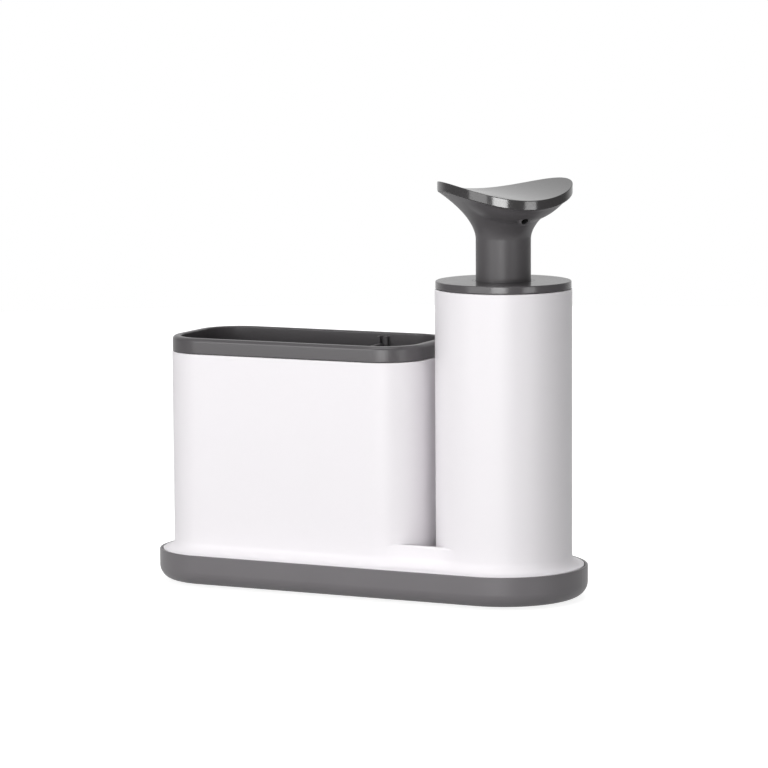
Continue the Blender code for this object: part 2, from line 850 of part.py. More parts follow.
def plate_loop(radius, drop):
    """Loop on a circle of the plate, a given drop below its top surface."""
    loop = []
    for step in range(head_steps):
        angle = 2 * pi * step / head_steps
        reach = plate_reach(angle, radius)
        x = reach * cos(angle)
        y = reach * sin(angle)
        loop.append(Vector((x, y, plate_height(x, y) - drop)))
    return loop


def round_loop(radius, z):
    steps = [2 * pi * step / head_steps for step in range(head_steps)]
    return [Vector((radius * cos(angle), radius * sin(angle), z)) for angle in steps]


def lobe_reach(angle, z):
    """Distance from the pump's axis to the belly's ellipsoid, or zero where it doesn't reach."""
    level = 1 - ((z - lobe_z) / lobe_down) ** 2
    if level <= 0:
        return 0
    along = lobe_along * sqrt(level)
    across = lobe_across * sqrt(level)
    a = (cos(angle) / along) ** 2 + (sin(angle) / across) ** 2
    b = -2 * lobe_offset * cos(angle) / along**2
    c = (lobe_offset / along) ** 2 - 1
    inside = b**2 - 4 * a * c
    if inside <= 0:
        return 0
    return (-b + sqrt(inside)) / (2 * a)


def trumpet_point(angle, share):
    """(reach, z) of the trumpet's outer surface, at a share of its height."""
    rim = plate_reach(angle, trumpet_radius)
    rim_z = plate_height(rim * cos(angle), rim * sin(angle)) - trumpet_drop
    z = flare_bottom + (rim_z - flare_bottom) * share
    reach = neck_radius + (rim - neck_radius) * share**trumpet_power
    return min(max(reach, lobe_reach(angle, z)), rim), z


def trumpet_loop(share, wall):
    """Loop round the trumpet's outer surface, or round its inner one at the given wall."""
    loop = []
    for step in range(head_steps):
        angle = 2 * pi * step / head_steps
        reach, z = trumpet_point(angle, share)
        if wall:
            reach = min(reach - wall, plate_reach(angle, lip_radius - lip_wall))
        loop.append(Vector((reach * cos(angle), reach * sin(angle), z + wall)))
    return loop


def make_head_body():
    shares = [step / flare_rings for step in range(flare_rings + 1)]
    loops = [round_loop(neck_bore, neck_bottom), round_loop(neck_radius, neck_bottom)]
    loops += [trumpet_loop(share, 0) for share in shares]
    loops += [
        plate_loop(lip_radius, trumpet_drop),
        plate_loop(lip_radius, trumpet_drop - lip_rise),
        plate_loop(lip_radius - lip_wall, trumpet_drop - lip_rise),
    ]
    loops += [trumpet_loop(share, trumpet_wall) for share in reversed(shares[1:-1])]
    loops += [round_loop(neck_bore, flare_bottom), round_loop(neck_bore, web_top)]
    loops += [round_loop(elbow_hole, web_top), round_loop(elbow_hole, web_bottom)]
    loops += [round_loop(neck_bore, web_bottom)]
    mesh = loft("head_body", loops, ring=True)
    head = add_part("head_body", mesh, "dark_grey_plastic", turn=outlet_azimuth, parent=pump_axis)

    tip = outlet_mouth + outlet_axis * boss_proud
    back = outlet_mouth - outlet_axis * boss_length
    seat_end = outlet_mouth - outlet_axis * mouth_depth
    past_tip = tip + outlet_axis * overrun
    past_back = back - outlet_axis * overrun
    place = (pump_x, 0, 0)
    boss = rod("outlet_boss", back, tip, boss_radius, slim_steps)
    hole = rod("outlet_hole", past_back, past_tip, outlet_radius, slim_steps)
    seat = rod("outlet_seat", past_back, seat_end, channel_radius + gap, slim_steps)
    combine(head, add_cutter("outlet_boss", boss, place, outlet_azimuth), "UNION")
    combine(head, add_cutter("outlet_hole", hole, place, outlet_azimuth), "DIFFERENCE")
    combine(head, add_cutter("outlet_seat", seat, place, outlet_azimuth), "DIFFERENCE")


def make_head_cover():
    inner = plate_radius - plate_wall
    loops = [plate_loop(inner * share, plate_wall) for share in plate_ring_shares]
    loops += [plate_loop(inner, plate_wall), plate_loop(inner, plate_band)]
    loops += [plate_loop(plate_radius, plate_band), plate_loop(plate_radius, edge_break)]
    loops += [plate_loop(plate_radius - edge_break, 0)]
    loops += [plate_loop(inner * share, 0) for share in reversed(plate_ring_shares)]
    mesh = loft("head_cover", loops)
    add_part("head_cover", mesh, "polished_plastic", turn=outlet_azimuth, parent=pump_axis)


def channel_path(before, after):
    """Points up from the stem, over and down to the mouth, with some length added at both ends."""
    bend_end = outlet_mouth - outlet_axis * (mouth_depth + gap + channel_straight)
    end = outlet_mouth - outlet_axis * (mouth_depth + gap - after)
    low = Vector((0, 0, stem_top + gap - before))
    bend_start = Vector((0, 0, web_top + channel_climb))
    first_pull = bend_start + Vector((0, 0, channel_climb))
    second_pull = bend_end - outlet_axis * channel_bend
    points = [low]
    for step in range(channel_points + 1):
        t = step / channel_points
        point = bend_start * (1 - t) ** 3
        point += first_pull * 3 * t * (1 - t) ** 2
        point += second_pull * 3 * t**2 * (1 - t)
        point += bend_end * t**3
        points.append(point)
    return points + [end]


def make_elbow():
    flange_low = web_top + gap
    flange_high = flange_low + elbow_flange_thick
    shoulder = flange_high + elbow_shoulder
    bottom = web_bottom - elbow_drop
    profile = (
        (0, shoulder),
        (channel_radius, shoulder),
        (elbow_radius, flange_high),
        (elbow_radius + elbow_flange, flange_high),
        (elbow_radius + elbow_flange, flange_low),
        (elbow_radius, flange_low),
        (elbow_radius, bottom),
        (0, bottom),
    )
    mesh = turned("delivery_elbow", profile, slim_steps)
    elbow = add_part("delivery_elbow", mesh, "dark_grey_plastic", turn=outlet_azimuth,
                     parent=pump_axis)
    place = (pump_x, 0, 0)
    tube = pipe("channel_tube", channel_path(-joint_sink, 0), channel_radius, 3)
    combine(elbow, add_cutter("channel_tube", tube, place, outlet_azimuth), "UNION")
    low = Vector((0, 0, bottom - overrun))
    high = Vector((0, 0, stem_top + gap))
    hole = rod("stem_socket", low, high, stem_hole, slim_steps)
    combine(elbow, add_cutter("stem_socket", hole, place, outlet_azimuth), "DIFFERENCE")
    bore = pipe("channel_bore", channel_path(overrun, overrun), channel_bore, 2)
    combine(elbow, add_cutter("channel_bore", bore, place, outlet_azimuth), "DIFFERENCE")


clear_scene()
parts = new_collection("soap_dispenser_caddy")
cutters = new_collection("cutters")
pump_axis = bpy.data.objects.new("pump_axis", None)
parts.objects.link(pump_axis)
pump_axis.location = (pump_x, 0, 0)

make_tray()
make_feet()
make_body_shell()
make_liner()
make_divider()
make_lid()
make_lid_seal()
make_neck_guide()
make_pump_housing()
make_housing_clamp()
make_inlet_ball()
make_dip_tube()
make_stem()
make_piston()
make_stem_guide()
make_spring()
make_head_body()
make_head_cover()
make_elbow()
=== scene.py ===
from math import atan2, cos, pi, radians, sin, sqrt, tan

import bmesh
import bpy
from mathutils import Matrix, Vector


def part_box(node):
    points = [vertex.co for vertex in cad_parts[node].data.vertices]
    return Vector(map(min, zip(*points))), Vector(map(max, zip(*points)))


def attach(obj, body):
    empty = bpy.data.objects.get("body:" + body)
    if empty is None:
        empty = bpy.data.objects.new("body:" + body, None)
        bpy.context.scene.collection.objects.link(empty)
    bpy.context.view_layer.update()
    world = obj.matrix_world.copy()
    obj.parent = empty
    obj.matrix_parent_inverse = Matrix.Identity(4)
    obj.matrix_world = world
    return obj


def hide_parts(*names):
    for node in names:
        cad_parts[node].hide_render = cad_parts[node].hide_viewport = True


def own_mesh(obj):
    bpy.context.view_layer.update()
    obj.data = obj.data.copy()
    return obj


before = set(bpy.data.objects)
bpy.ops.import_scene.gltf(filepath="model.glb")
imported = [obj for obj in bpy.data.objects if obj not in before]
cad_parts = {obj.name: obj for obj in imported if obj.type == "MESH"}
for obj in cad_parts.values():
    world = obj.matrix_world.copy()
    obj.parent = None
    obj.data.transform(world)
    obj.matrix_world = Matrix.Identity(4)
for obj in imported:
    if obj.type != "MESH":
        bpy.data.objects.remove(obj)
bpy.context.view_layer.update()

mm = 0.001
air = 0.3 * mm  # between pieces that touch
mergeDistance = 0.001 * mm
roundingShare = 0.49  # of a side, at most, goes into the rounding of one corner
print("frame loaded")


# Shape helpers

def millimetres(**sizes):  # a piece's lengths, turned into metres
    return {name: size * mm for name, size in sizes.items()}


def softened(corners, steps=6):  # (a, b, radius) corners of a closed outline, each turned into an arc
    shaped = []
    for index, (a, b, radius) in enumerate(corners):
        here = Vector((a, b))
        toBefore = Vector(corners[index - 1][:2]) - here
        toAfter = Vector(corners[(index + 1) % len(corners)][:2]) - here
        if radius == 0:
            shaped.append((a, b))
            continue
        angle = toBefore.angle(toAfter)
        reach = min(radius / tan(angle / 2), toBefore.length * roundingShare, toAfter.length * roundingShare)
        start = toBefore.normalized() * reach
        end = toAfter.normalized() * reach
        middle = (start + end).normalized() * (reach / cos(angle / 2))
        radius = (start - middle).length
        for step in range(steps + 1):
            point = here + middle + (start - middle).slerp(end - middle, step / steps) * radius
            shaped.append((point.x, point.y))
    return shaped


def stadium(left, right, half, leftCorner, rightCorner, inset, steps=24):  # rounded outline, moved inwards
    corners = ((right, 1, rightCorner, 0), (left, 1, leftCorner, pi / 2),
               (left, -1, leftCorner, pi), (right, -1, rightCorner, 3 * pi / 2))
    points = []
    for x, side, radius, start in corners:
        middleX = x - radius if x == right else x + radius
        for step in range(steps + 1):
            angle = start + pi / 2 * step / steps
            reach = radius - inset
            points.append((middleX + reach * cos(angle), side * (half - radius) + reach * sin(angle)))
    return points


def meshFrom(name, shape):
    bmesh.ops.recalc_face_normals(shape, faces=shape.faces)
    mesh = bpy.data.meshes.new(name)
    shape.to_mesh(mesh)
    shape.free()
    return mesh


def loft(name, loops, ring=False):  # skin through loops of equal length
    shape = bmesh.new()
    rows = [[shape.verts.new(point) for point in loop] for loop in loops]
    for low, high in zip(rows, rows[1:] + rows[:1] if ring else rows[1:]):
        for step in range(len(low)):
            past = (step + 1) % len(low)
            shape.faces.new((low[step], low[past], high[past], high[step]))
    if not ring:
        shape.faces.new(rows[0])
        shape.faces.new(rows[-1])
    return meshFrom(name, shape)


def stacked(name, outline, pairs, ring=False):  # (inset, z) pairs: the outline's loop at each height
    return loft(name, [[Vector((x, y, z)) for x, y in outline(inset)] for inset, z in pairs], ring)


def turned(name, profile, steps=96, place=(0, 0, 0)):  # (radius, z) profile, left open if it starts on the axis
    shape = bmesh.new()
    corners = [shape.verts.new((radius, 0, z)) for radius, z in profile]
    for pair in zip(corners, corners[1:]):
        shape.edges.new(pair)
    if profile[0][0] > 0:
        shape.edges.new((corners[-1], corners[0]))
    bmesh.ops.spin(shape, geom=shape.verts[:] + shape.edges[:], axis=(0, 0, 1), cent=(0, 0, 0),
                   angle=2 * pi, steps=steps, use_merge=True)
    bmesh.ops.remove_doubles(shape, verts=shape.verts, dist=mergeDistance)
    bmesh.ops.translate(shape, verts=shape.verts, vec=place)
    return meshFrom(name, shape)


def moved(mesh, matrix):
    mesh.transform(matrix)
    return mesh


def pointing(place, way):  # moves something to a place and turns its Z along the way
    return Matrix.Translation(place) @ way.to_track_quat("Z", "Y").to_matrix().to_4x4()


def linked(data):  # a new object in the scene, from a mesh, a lamp or a lens
    obj = bpy.data.objects.new(data.name, data)
    bpy.context.scene.collection.objects.link(obj)
    return obj


def settle(obj):  # modifiers become plain mesh
    done = bpy.data.meshes.new_from_object(obj.evaluated_get(bpy.context.evaluated_depsgraph_get()))
    obj.modifiers.clear()
    obj.data = done


def combined(obj, steps):  # ((mesh, operation), ...) booleans, settled one after the other
    for mesh, operation in steps:
        tool = linked(mesh)
        modifier = obj.modifiers.new("combine", "BOOLEAN")
        modifier.operation = operation
        modifier.solver = "EXACT"
        modifier.object = tool
        bpy.context.view_layer.update()
        settle(obj)
        bpy.data.objects.remove(tool)


def finished(obj, body, nodes, material, sharp=38):
    mesh = obj.data
    mesh.materials.clear()
    mesh.materials.append(material)
    mesh.shade_smooth()
    mesh.set_sharp_from_angle(angle=radians(sharp))
    weighting = obj.modifiers.new("weighting", "WEIGHTED_NORMAL")
    weighting.keep_sharp = True
    weighting.weight = 60
    bpy.context.view_layer.update()
    settle(obj)
    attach(obj, body)
    if nodes:
        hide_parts(*nodes)


def roundBox(node):  # a round node's lowest and highest corner and its radius
    low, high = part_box(node)
    return low, high, (high.x - low.x) / 2


# Node helpers

def startTree(name, kind, inputs, outputs):  # a socket's type follows from its value or is named in its place
    tree = bpy.data.node_groups.new(name, kind)
    for way, sockets in (("INPUT", inputs), ("OUTPUT", outputs)):
        for label, value in sockets.items():
            sort = {float: "Float", int: "Int", tuple: "Color"}.get(type(value), value)
            socket = tree.interface.new_socket(name=label, in_out=way, socket_type=f"NodeSocket{sort}")
            if sort != value:
                socket.default_value = value
    return tree, tree.nodes.new("NodeGroupInput").outputs


def geometryTree(name, inputs):
    return startTree(name, "GeometryNodeTree", {**inputs, "Material": "Material"}, {"Geometry": "Geometry"})


def fed(tree, node, inputs):  # sockets are linked, anything else is set as a constant
    for name, value in inputs.items():
        if isinstance(value, bpy.types.NodeSocket):
            tree.links.new(value, node.inputs[name])
        else:
            node.inputs[name].default_value = value
    return node


def wired(tree, kind, inputs, **settings):
    node = tree.nodes.new(kind)
    for name, value in settings.items():
        setattr(node, name, value)
    return fed(tree, node, inputs)


def worked(tree, operation, *values, clamp=False):
    node = wired(tree, "ShaderNodeMath", dict(enumerate(values)), operation=operation, use_clamp=clamp)
    return node.outputs[0]


def times(tree, first, second):
    return worked(tree, "MULTIPLY", first, second)


def painted(tree, shape, given):  # the end of every geometry tree
    real = wired(tree, "GeometryNodeRealizeInstances", {"Geometry": shape})
    paint = wired(tree, "GeometryNodeSetMaterial", {"Geometry": real.outputs[0], "Material": given["Material"]})
    wired(tree, "NodeGroupOutput", {"Geometry": paint.outputs[0]})
    return tree


def boxesOn(tree, points, given, sides, cuts, rotation=(0, 0, 0)):  # one box, repeated on every point
    size = wired(tree, "ShaderNodeCombineXYZ", {axis: given[side] for axis, side in zip("XYZ", sides)})
    box = wired(tree, "GeometryNodeMeshCube", {
        "Size": size.outputs[0], **{f"Vertices {axis}": count for axis, count in zip("XYZ", cuts)}})
    place = wired(tree, "GeometryNodeInstanceOnPoints", {
        "Points": points.outputs["Mesh"], "Instance": box.outputs["Mesh"], "Rotation": rotation})
    return painted(tree, place.outputs["Instances"], given)


def grown(name, tree, values, place):  # plain mesh that a tree makes from the given values, moved to its place
    obj = linked(bpy.data.meshes.new(name))
    modifier = obj.modifiers.new("grow", "NODES")
    modifier.node_group = tree
    for item in tree.interface.items_tree:
        if item.item_type == "SOCKET" and item.in_out == "INPUT" and item.name in values:
            modifier[item.identifier] = values[item.name]
    bpy.context.view_layer.update()
    settle(obj)
    moved(obj.data, Matrix.Translation(place))
    return obj


# Materials

surfaceLook = {"noiseRoughness": 0.55, "flowDetail": 4, "grainDetail": 2, "grainTone": 1.6, "scuffScale": 420,
               "scuffDetail": 3, "scuffTurn": (0.4, 0.7, 0.2), "scuffStretch": (1, 9, 1), "scuffFrom": 0.62,
               "scuffTo": 0.74, "scuffTone": 0.25, "scuffGloss": 0.5}
plainLook = {"Mottle": 0.05, "Flow Scale": 45, "Gloss Spread": 0.05, "Grain Scale": 2600,
             "Grain Height": 0.01 * mm, "Scuffs": 0.05}


def makeMouldedSurface():  # tone, gloss and fine grain of an injection-moulded face
    s = surfaceLook
    tree, given = startTree("mouldedSurface", "ShaderNodeTree", {
        "Colour": (0.5, 0.5, 0.5, 1), "Mottle": 0.03, "Flow Scale": 30.0, "Roughness": 0.4,
        "Gloss Spread": 0.05, "Grain Scale": 2500.0, "Grain Height": 0.01 * mm, "Scuffs": 0.1},
        {"Colour": "Color", "Roughness": "Float", "Normal": "Vector"})
    place = tree.nodes.new("ShaderNodeTexCoord").outputs["Object"]

    def noise(scale, detail, spot=place):
        return wired(tree, "ShaderNodeTexNoise", {"Vector": spot, "Scale": scale, "Detail": detail,
                                                  "Roughness": s["noiseRoughness"]}).outputs["Fac"]

    flow = times(tree, worked(tree, "SUBTRACT", noise(given["Flow Scale"], s["flowDetail"]), 0.5), 2)
    fine = worked(tree, "SUBTRACT", noise(given["Grain Scale"], s["grainDetail"]), 0.5)
    stretched = wired(tree, "ShaderNodeMapping", {"Vector": place, "Rotation": s["scuffTurn"],
                                                  "Scale": s["scuffStretch"]}).outputs["Vector"]
    scratches = wired(tree, "ShaderNodeMapRange", {
        "Value": noise(s["scuffScale"], s["scuffDetail"], stretched), "From Min": s["scuffFrom"],
        "From Max": s["scuffTo"]}).outputs["Result"]
    scuffed = times(tree, scratches, given["Scuffs"])
    tone = worked(tree, "ADD", 1, times(tree, flow, given["Mottle"]))
    tone = worked(tree, "ADD", tone, times(tree, fine, times(tree, given["Mottle"], s["grainTone"])))
    tone = worked(tree, "ADD", tone, times(tree, scuffed, s["scuffTone"]))
    shaded = wired(tree, "ShaderNodeVectorMath", {0: given["Colour"], "Scale": tone}, operation="SCALE")
    gloss = worked(tree, "ADD", given["Roughness"], times(tree, flow, given["Gloss Spread"]))
    gloss = worked(tree, "ADD", gloss, times(tree, scuffed, s["scuffGloss"]), clamp=True)
    bump = wired(tree, "ShaderNodeBump", {"Strength": 1, "Distance": given["Grain Height"], "Height": fine})
    wired(tree, "NodeGroupOutput", {"Colour": shaded.outputs[0], "Roughness": gloss,
                                    "Normal": bump.outputs["Normal"]})
    return tree


mouldedSurface = makeMouldedSurface()


def mouldedMaterial(name, colour, look, shading):  # the look is what differs from plainLook
    material = bpy.data.materials.new(name)
    material.use_nodes = True
    tree = material.node_tree
    surface = wired(tree, "ShaderNodeGroup", {**plainLook, **look, "Colour": (*colour, 1)},
                    node_tree=mouldedSurface).outputs
    fed(tree, tree.nodes["Principled BSDF"], {
        "Base Color": surface["Colour"], "Roughness": surface["Roughness"], "Normal": surface["Normal"],
        **shading})
    return material


trayGrey = mouldedMaterial("satinGreyPlastic", (0.142, 0.134, 0.141), {"Roughness": 0.36}, {"IOR": 1.5})
rimGrey = mouldedMaterial("rimGreyPlastic", (0.086, 0.081, 0.085), {
    "Roughness": 0.31, "Mottle": 0.03, "Flow Scale": 40, "Gloss Spread": 0.03, "Grain Height": 0.003 * mm,
    "Scuffs": 0.02}, {"IOR": 1.5})
lidGrey = mouldedMaterial("lidGreyPlastic", (0.085, 0.080, 0.084), {
    "Roughness": 0.22, "Mottle": 0.04, "Flow Scale": 50, "Gloss Spread": 0.04,
    "Grain Height": 0.003 * mm}, {"IOR": 1.5})
neckGrey = mouldedMaterial("neckGreyPlastic", (0.089, 0.084, 0.088), {
    "Roughness": 0.42, "Flow Scale": 55, "Grain Height": 0.005 * mm}, {"IOR": 1.45})
plateGrey = mouldedMaterial("polishedDarkPlastic", (0.042, 0.040, 0.041), {
    "Roughness": 0.14, "Flow Scale": 40, "Gloss Spread": 0.03, "Grain Height": 0.001 * mm,
    "Scuffs": 0.06}, {"IOR": 1.58})
whitePlastic = mouldedMaterial("whiteMouldedPlastic", (0.848, 0.824, 0.848), {
    "Roughness": 0.4, "Mottle": 0.008, "Flow Scale": 22, "Gloss Spread": 0.03, "Grain Scale": 2200,
    "Grain Height": 0.004 * mm, "Scuffs": 0.03}, {"IOR": 1.48})
# near-black channel colour: painted shade, standing in for the shade seen inside the outlet hole
shadeBlackChannel = mouldedMaterial("channelPaintedShadeBlack", (0.012, 0.012, 0.012), {
    "Roughness": 0.6, "Mottle": 0.1, "Flow Scale": 90, "Grain Height": 0.008 * mm}, {"IOR": 1.4})
naturalPlastic = mouldedMaterial("naturalPumpPlastic", (0.76, 0.76, 0.73), {
    "Roughness": 0.42, "Mottle": 0.03, "Flow Scale": 90, "Grain Scale": 3000, "Scuffs": 0.1}, {
    "Subsurface Weight": 0.15, "Subsurface Radius": (0.002, 0.002, 0.002), "Subsurface Scale": 1})
cloudyTube = mouldedMaterial("cloudyTubePlastic", (0.82, 0.85, 0.86), {
    "Roughness": 0.23, "Mottle": 0.02, "Flow Scale": 60, "Gloss Spread": 0.03, "Grain Scale": 1800,
    "Grain Height": 0.006 * mm}, {"Transmission Weight": 0.55, "IOR": 1.5})
blackRubber = mouldedMaterial("blackRubber", (0.032, 0.032, 0.033), {
    "Roughness": 0.75, "Mottle": 0.25, "Flow Scale": 160, "Gloss Spread": 0.08, "Grain Scale": 2200,
    "Grain Height": 0.03 * mm, "Scuffs": 0.1}, {})
drawnSteel = mouldedMaterial("drawnSpringSteel", (0.6, 0.6, 0.58), {
    "Roughness": 0.34, "Mottle": 0.08, "Flow Scale": 300, "Grain Scale": 3500, "Scuffs": 0.4}, {
    "Metallic": 1.0})
print("materials made")


# Tray and its rubber pads

trayLow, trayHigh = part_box("base_tray")
traySizes = millimetres(corner=31, endFlat=0.05, wall=1.4, floor=2.4, lowRound=10.5, rimSoft=0.5, cap=14,
                        recess=1, recessSoft=0.2, over=2)
footNodes = ("foot_front_left", "foot_front_right", "foot_back_left", "foot_back_right")
footSizes = millimetres(soft=0.35, treadWidth=0.5, treadDepth=0.35, treadSoft=0.1)
treads = (4.4 * mm, 3 * mm, 1.6 * mm)  # radii of the grooves under a pad


def trayOutline(inset):
    endCorner = trayHigh.y - traySizes["endFlat"]
    return stadium(trayLow.x, trayHigh.x, trayHigh.y, traySizes["corner"], endCorner, inset)


def makeTray():
    s = traySizes
    floorTop = trayLow.z + s["floor"]
    corners = ((s["cap"], floorTop, 0), (s["wall"], floorTop, s["lowRound"] - s["wall"]),
               (s["wall"], trayHigh.z, s["rimSoft"]), (0, trayHigh.z, s["rimSoft"]),
               (0, trayLow.z, s["lowRound"]), (s["cap"], trayLow.z, 0))
    tray = linked(stacked("trayPan", trayOutline, softened(corners, 14)))
    top, bottom = trayLow.z + s["recess"], trayLow.z - s["over"]
    recesses = []
    for node in footNodes:
        low, high, radius = roundBox(node)
        middle = (low + high) / 2
        radius += air
        corners = ((0, top, 0), (radius, top, s["recessSoft"]), (radius, bottom, 0), (0, bottom, 0))
        recess = turned("recess", softened(corners, 4), 48, (middle.x, middle.y, 0))
        recesses.append((recess, "DIFFERENCE"))
    combined(tray, recesses)
    finished(tray, "body", ["base_tray"], trayGrey)


def makeFeet():
    s = footSizes
    for node in footNodes:
        low, high, radius = roundBox(node)
        middle = (low + high) / 2
        corners = [(0, high.z, 0), (radius, high.z, s["soft"]), (radius, low.z, s["soft"])]
        for tread in treads:
            outer, inner = tread + s["treadWidth"] / 2, tread - s["treadWidth"] / 2
            top = low.z + s["treadDepth"]
            corners += [(radius, z, s["treadSoft"]) for radius, z in
                        ((outer, low.z), (outer, top), (inner, top), (inner, low.z))]
        corners.append((0, low.z, 0))
        pad = turned(f"pad_{node}", softened(corners, 3), 64, (middle.x, middle.y, 0))
        finished(linked(pad), "body", [node], blackRubber)


makeTray()
makeFeet()
print("tray and pads made")


# White body

shellLow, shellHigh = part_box("body_shell")
linerLow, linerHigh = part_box("holder_liner")
lidLow, lidHigh, lidRadius = roundBox("bottle_lid")
pumpAxis = Vector(((lidLow.x + lidHigh.x) / 2, 0, 0))
bodySizes = millimetres(
    deckRise=0.3, deckWall=2, deckRound=0.5, deckSkirt=1.5, deckInner=0.5, skirtSoft=0.3, fillet=4.8, sink=1.5,
    webRise=10.3, webHalf=28, webWall=2.2, webRound=1, webSwing=34, webEntry=8.8, webTuck=4, holderCorner=21.5,
    holderWall=2.2, rimStep=0.22, rimHeight=7.4, bottleRadius=32.5, bottleWall=2.2, bottleFloor=2.2,
    bottleLowRound=5, bottleInnerRound=3, edge=0.45, cap=14, over=3)
webMeeting = radians(4)  # between the web's side and the wall it runs into
roundSteps, filletSteps = 144, 14
deckTop = trayHigh.z + bodySizes["deckRise"]
holderLeft = linerLow.x - bodySizes["rimStep"]
holderRight = linerHigh.x + bodySizes["rimStep"]
holderHalf = linerHigh.y + bodySizes["rimStep"]
holderTop = linerHigh.z - bodySizes["rimHeight"] - air


def holderOutline(inset):
    corner = bodySizes["holderCorner"]
    return stadium(holderLeft, holderRight, holderHalf, corner, corner, inset)


def arcPairs(start, height, radius, across, upwards, steps=8):
    return [(start + across * radius * (1 - cos(pi / 2 * step / steps)),
             height + upwards * radius * sin(pi / 2 * step / steps)) for step in range(steps + 1)]


def risingPairs(top, topRound):  # up a wall that sweeps out of the deck, to its rounded top
    s = bodySizes
    pairs = [(-s["fillet"], deckTop - s["sink"])]
    pairs += reversed(arcPairs(0, deckTop + s["fillet"], s["fillet"], -1, -1, filletSteps))
    return pairs + arcPairs(0, top - topRound, topRound, 1, 1)


def webOutline(inset, steps=16):  # straight sides that swing out to meet the holder and the bottle
    s = bodySizes
    half, swing = s["webHalf"], s["webSwing"]
    depth = half + swing
    ends = []
    for middleX, middleY, radius, side in (
            (holderRight - s["holderCorner"], holderHalf - s["holderCorner"], s["holderCorner"], 1),
            (pumpAxis.x, 0, s["bottleRadius"], -1)):
        crossing = 2 * radius * swing * cos(webMeeting)
        apart = sqrt(radius ** 2 + swing ** 2 + crossing)
        along = sqrt(apart ** 2 - (depth - middleY) ** 2)
        turn = atan2(along, depth - middleY)
        arc = [(middleX + side * (along - (swing + inset) * sin(turn * step / steps)),
                (swing + inset) * cos(turn * step / steps) - depth) for step in range(steps + 1)]
        arc.append((middleX + side * (s["webEntry"] + inset), s["webTuck"] - half + inset))  # inside the wall
        ends.append(arc)
    front = list(reversed(ends[0])) + ends[1]
    return front + [(x, -y) for x, y in reversed(front)]


def webFrame():  # low wall round the space between holder and bottle, open at the top
    s = bodySizes
    top = deckTop + s["webRise"]
    pairs = risingPairs(top, s["webRound"])
    pairs += reversed(arcPairs(s["webWall"], top - s["edge"], s["edge"], -1, 1))
    pairs.append((s["webWall"], deckTop - s["sink"]))
    return stacked("webFrame", webOutline, pairs, True)


def makeBody():
    s = bodySizes
    outer = traySizes["wall"] + air
    inner = outer + s["deckWall"]
    under = deckTop - s["deckWall"]
    skirt = under - s["deckSkirt"]
    corners = ((s["cap"], under, 0), (inner, under, s["deckInner"]), (inner, skirt, s["skirtSoft"]),
               (outer, skirt, s["skirtSoft"]), (outer, deckTop, s["deckRound"]), (s["cap"], deckTop, 0))
    body = linked(stacked("whiteBody", trayOutline, softened(corners, 10)))

    holder = stacked("holderWall", holderOutline, risingPairs(holderTop, s["edge"]))
    radius, fillet, top, edge = s["bottleRadius"], s["fillet"], shellHigh.z, s["edge"]
    profile = [(0, top)] + list(reversed(arcPairs(radius, top - edge, edge, -1, 1)))
    profile += arcPairs(radius, deckTop + fillet, fillet, 1, -1, filletSteps)
    profile += [(radius + fillet, deckTop - s["sink"]), (radius, deckTop - s["sink"])]
    profile += arcPairs(radius, shellLow.z + s["bottleLowRound"], s["bottleLowRound"], -1, -1)
    profile += [(0, shellLow.z)]
    bottle = turned("bottleWall", profile, roundSteps, pumpAxis)

    wall, rim = s["holderWall"], holderTop - edge
    cavity = [(wall, under - s["over"])] + arcPairs(wall, rim, edge, -1, 1)
    cavity += [(wall - edge, holderTop + s["over"])]
    holderCavity = stacked("holderCavity", holderOutline, cavity)
    bore, floor = radius - s["bottleWall"], shellLow.z + s["bottleFloor"]
    profile = [(0, top + s["over"]), (bore + edge, top + s["over"])]
    profile += list(reversed(arcPairs(bore, top - edge, edge, 1, 1)))
    profile += arcPairs(bore, floor + s["bottleInnerRound"], s["bottleInnerRound"], -1, -1)
    profile += [(0, floor)]
    bottleCavity = turned("bottleCavity", profile, roundSteps, pumpAxis)
    combined(body, ((webFrame(), "UNION"), (holder, "UNION"), (bottle, "UNION"),
                    (holderCavity, "DIFFERENCE"), (bottleCavity, "DIFFERENCE")))
    finished(body, "body", ["body_shell"], whitePlastic, sharp=30)


makeBody()
print("white body made")


# Liner and divider

linerSizes = millimetres(wall=1.8, floor=2, lowRound=3, rimRound=1.9, rimInner=0.8, stepSoft=0.3, cap=11,
                         ribThick=1.6, ribProud=2, ribSink=0.5, ribTopDrop=1.9)
dividerSizes = millimetres(soft=0.45, corner=3.5, leastCorner=0.3, cap=6)
dividerLow, dividerHigh, dividerHalf = roundBox("liner_divider")
linerInset = bodySizes["holderWall"] + air
linerInner = linerInset + linerSizes["wall"]


def makeLiner():
    s = linerSizes
    step, rimBottom = bodySizes["rimStep"], linerHigh.z - bodySizes["rimHeight"]
    floorTop = linerLow.z + s["floor"]
    corners = ((s["cap"], linerLow.z, 0), (linerInset, linerLow.z, s["lowRound"]),
               (linerInset, rimBottom, s["stepSoft"]), (step, rimBottom, s["stepSoft"]),
               (step, linerHigh.z, s["rimRound"]), (linerInner, linerHigh.z, s["rimInner"]),
               (linerInner, floorTop, s["lowRound"]), (s["cap"], floorTop, 0))
    liner = linked(stacked("linerCup", holderOutline, softened(corners, 8)))
    finished(liner,"liner", ["holder_liner"], rimGrey)


def guideRibTree():  # four upright ribs that hold the divider's edges, made by placing one rib on four points
    tree, given = geometryTree("guideRibs", {
        "Half Gap X": 0.002, "Half Width Y": 0.028, "Thickness": 0.0016, "Proud": 0.003, "Height": 0.1})
    grid = wired(tree, "GeometryNodeMeshGrid", {
        "Vertices X": 2, "Vertices Y": 2, "Size X": times(tree, given["Half Gap X"], 2),
        "Size Y": times(tree, given["Half Width Y"], 2)})
    return boxesOn(tree, grid, given, ("Thickness", "Proud", "Height"), (4, 5, 24))


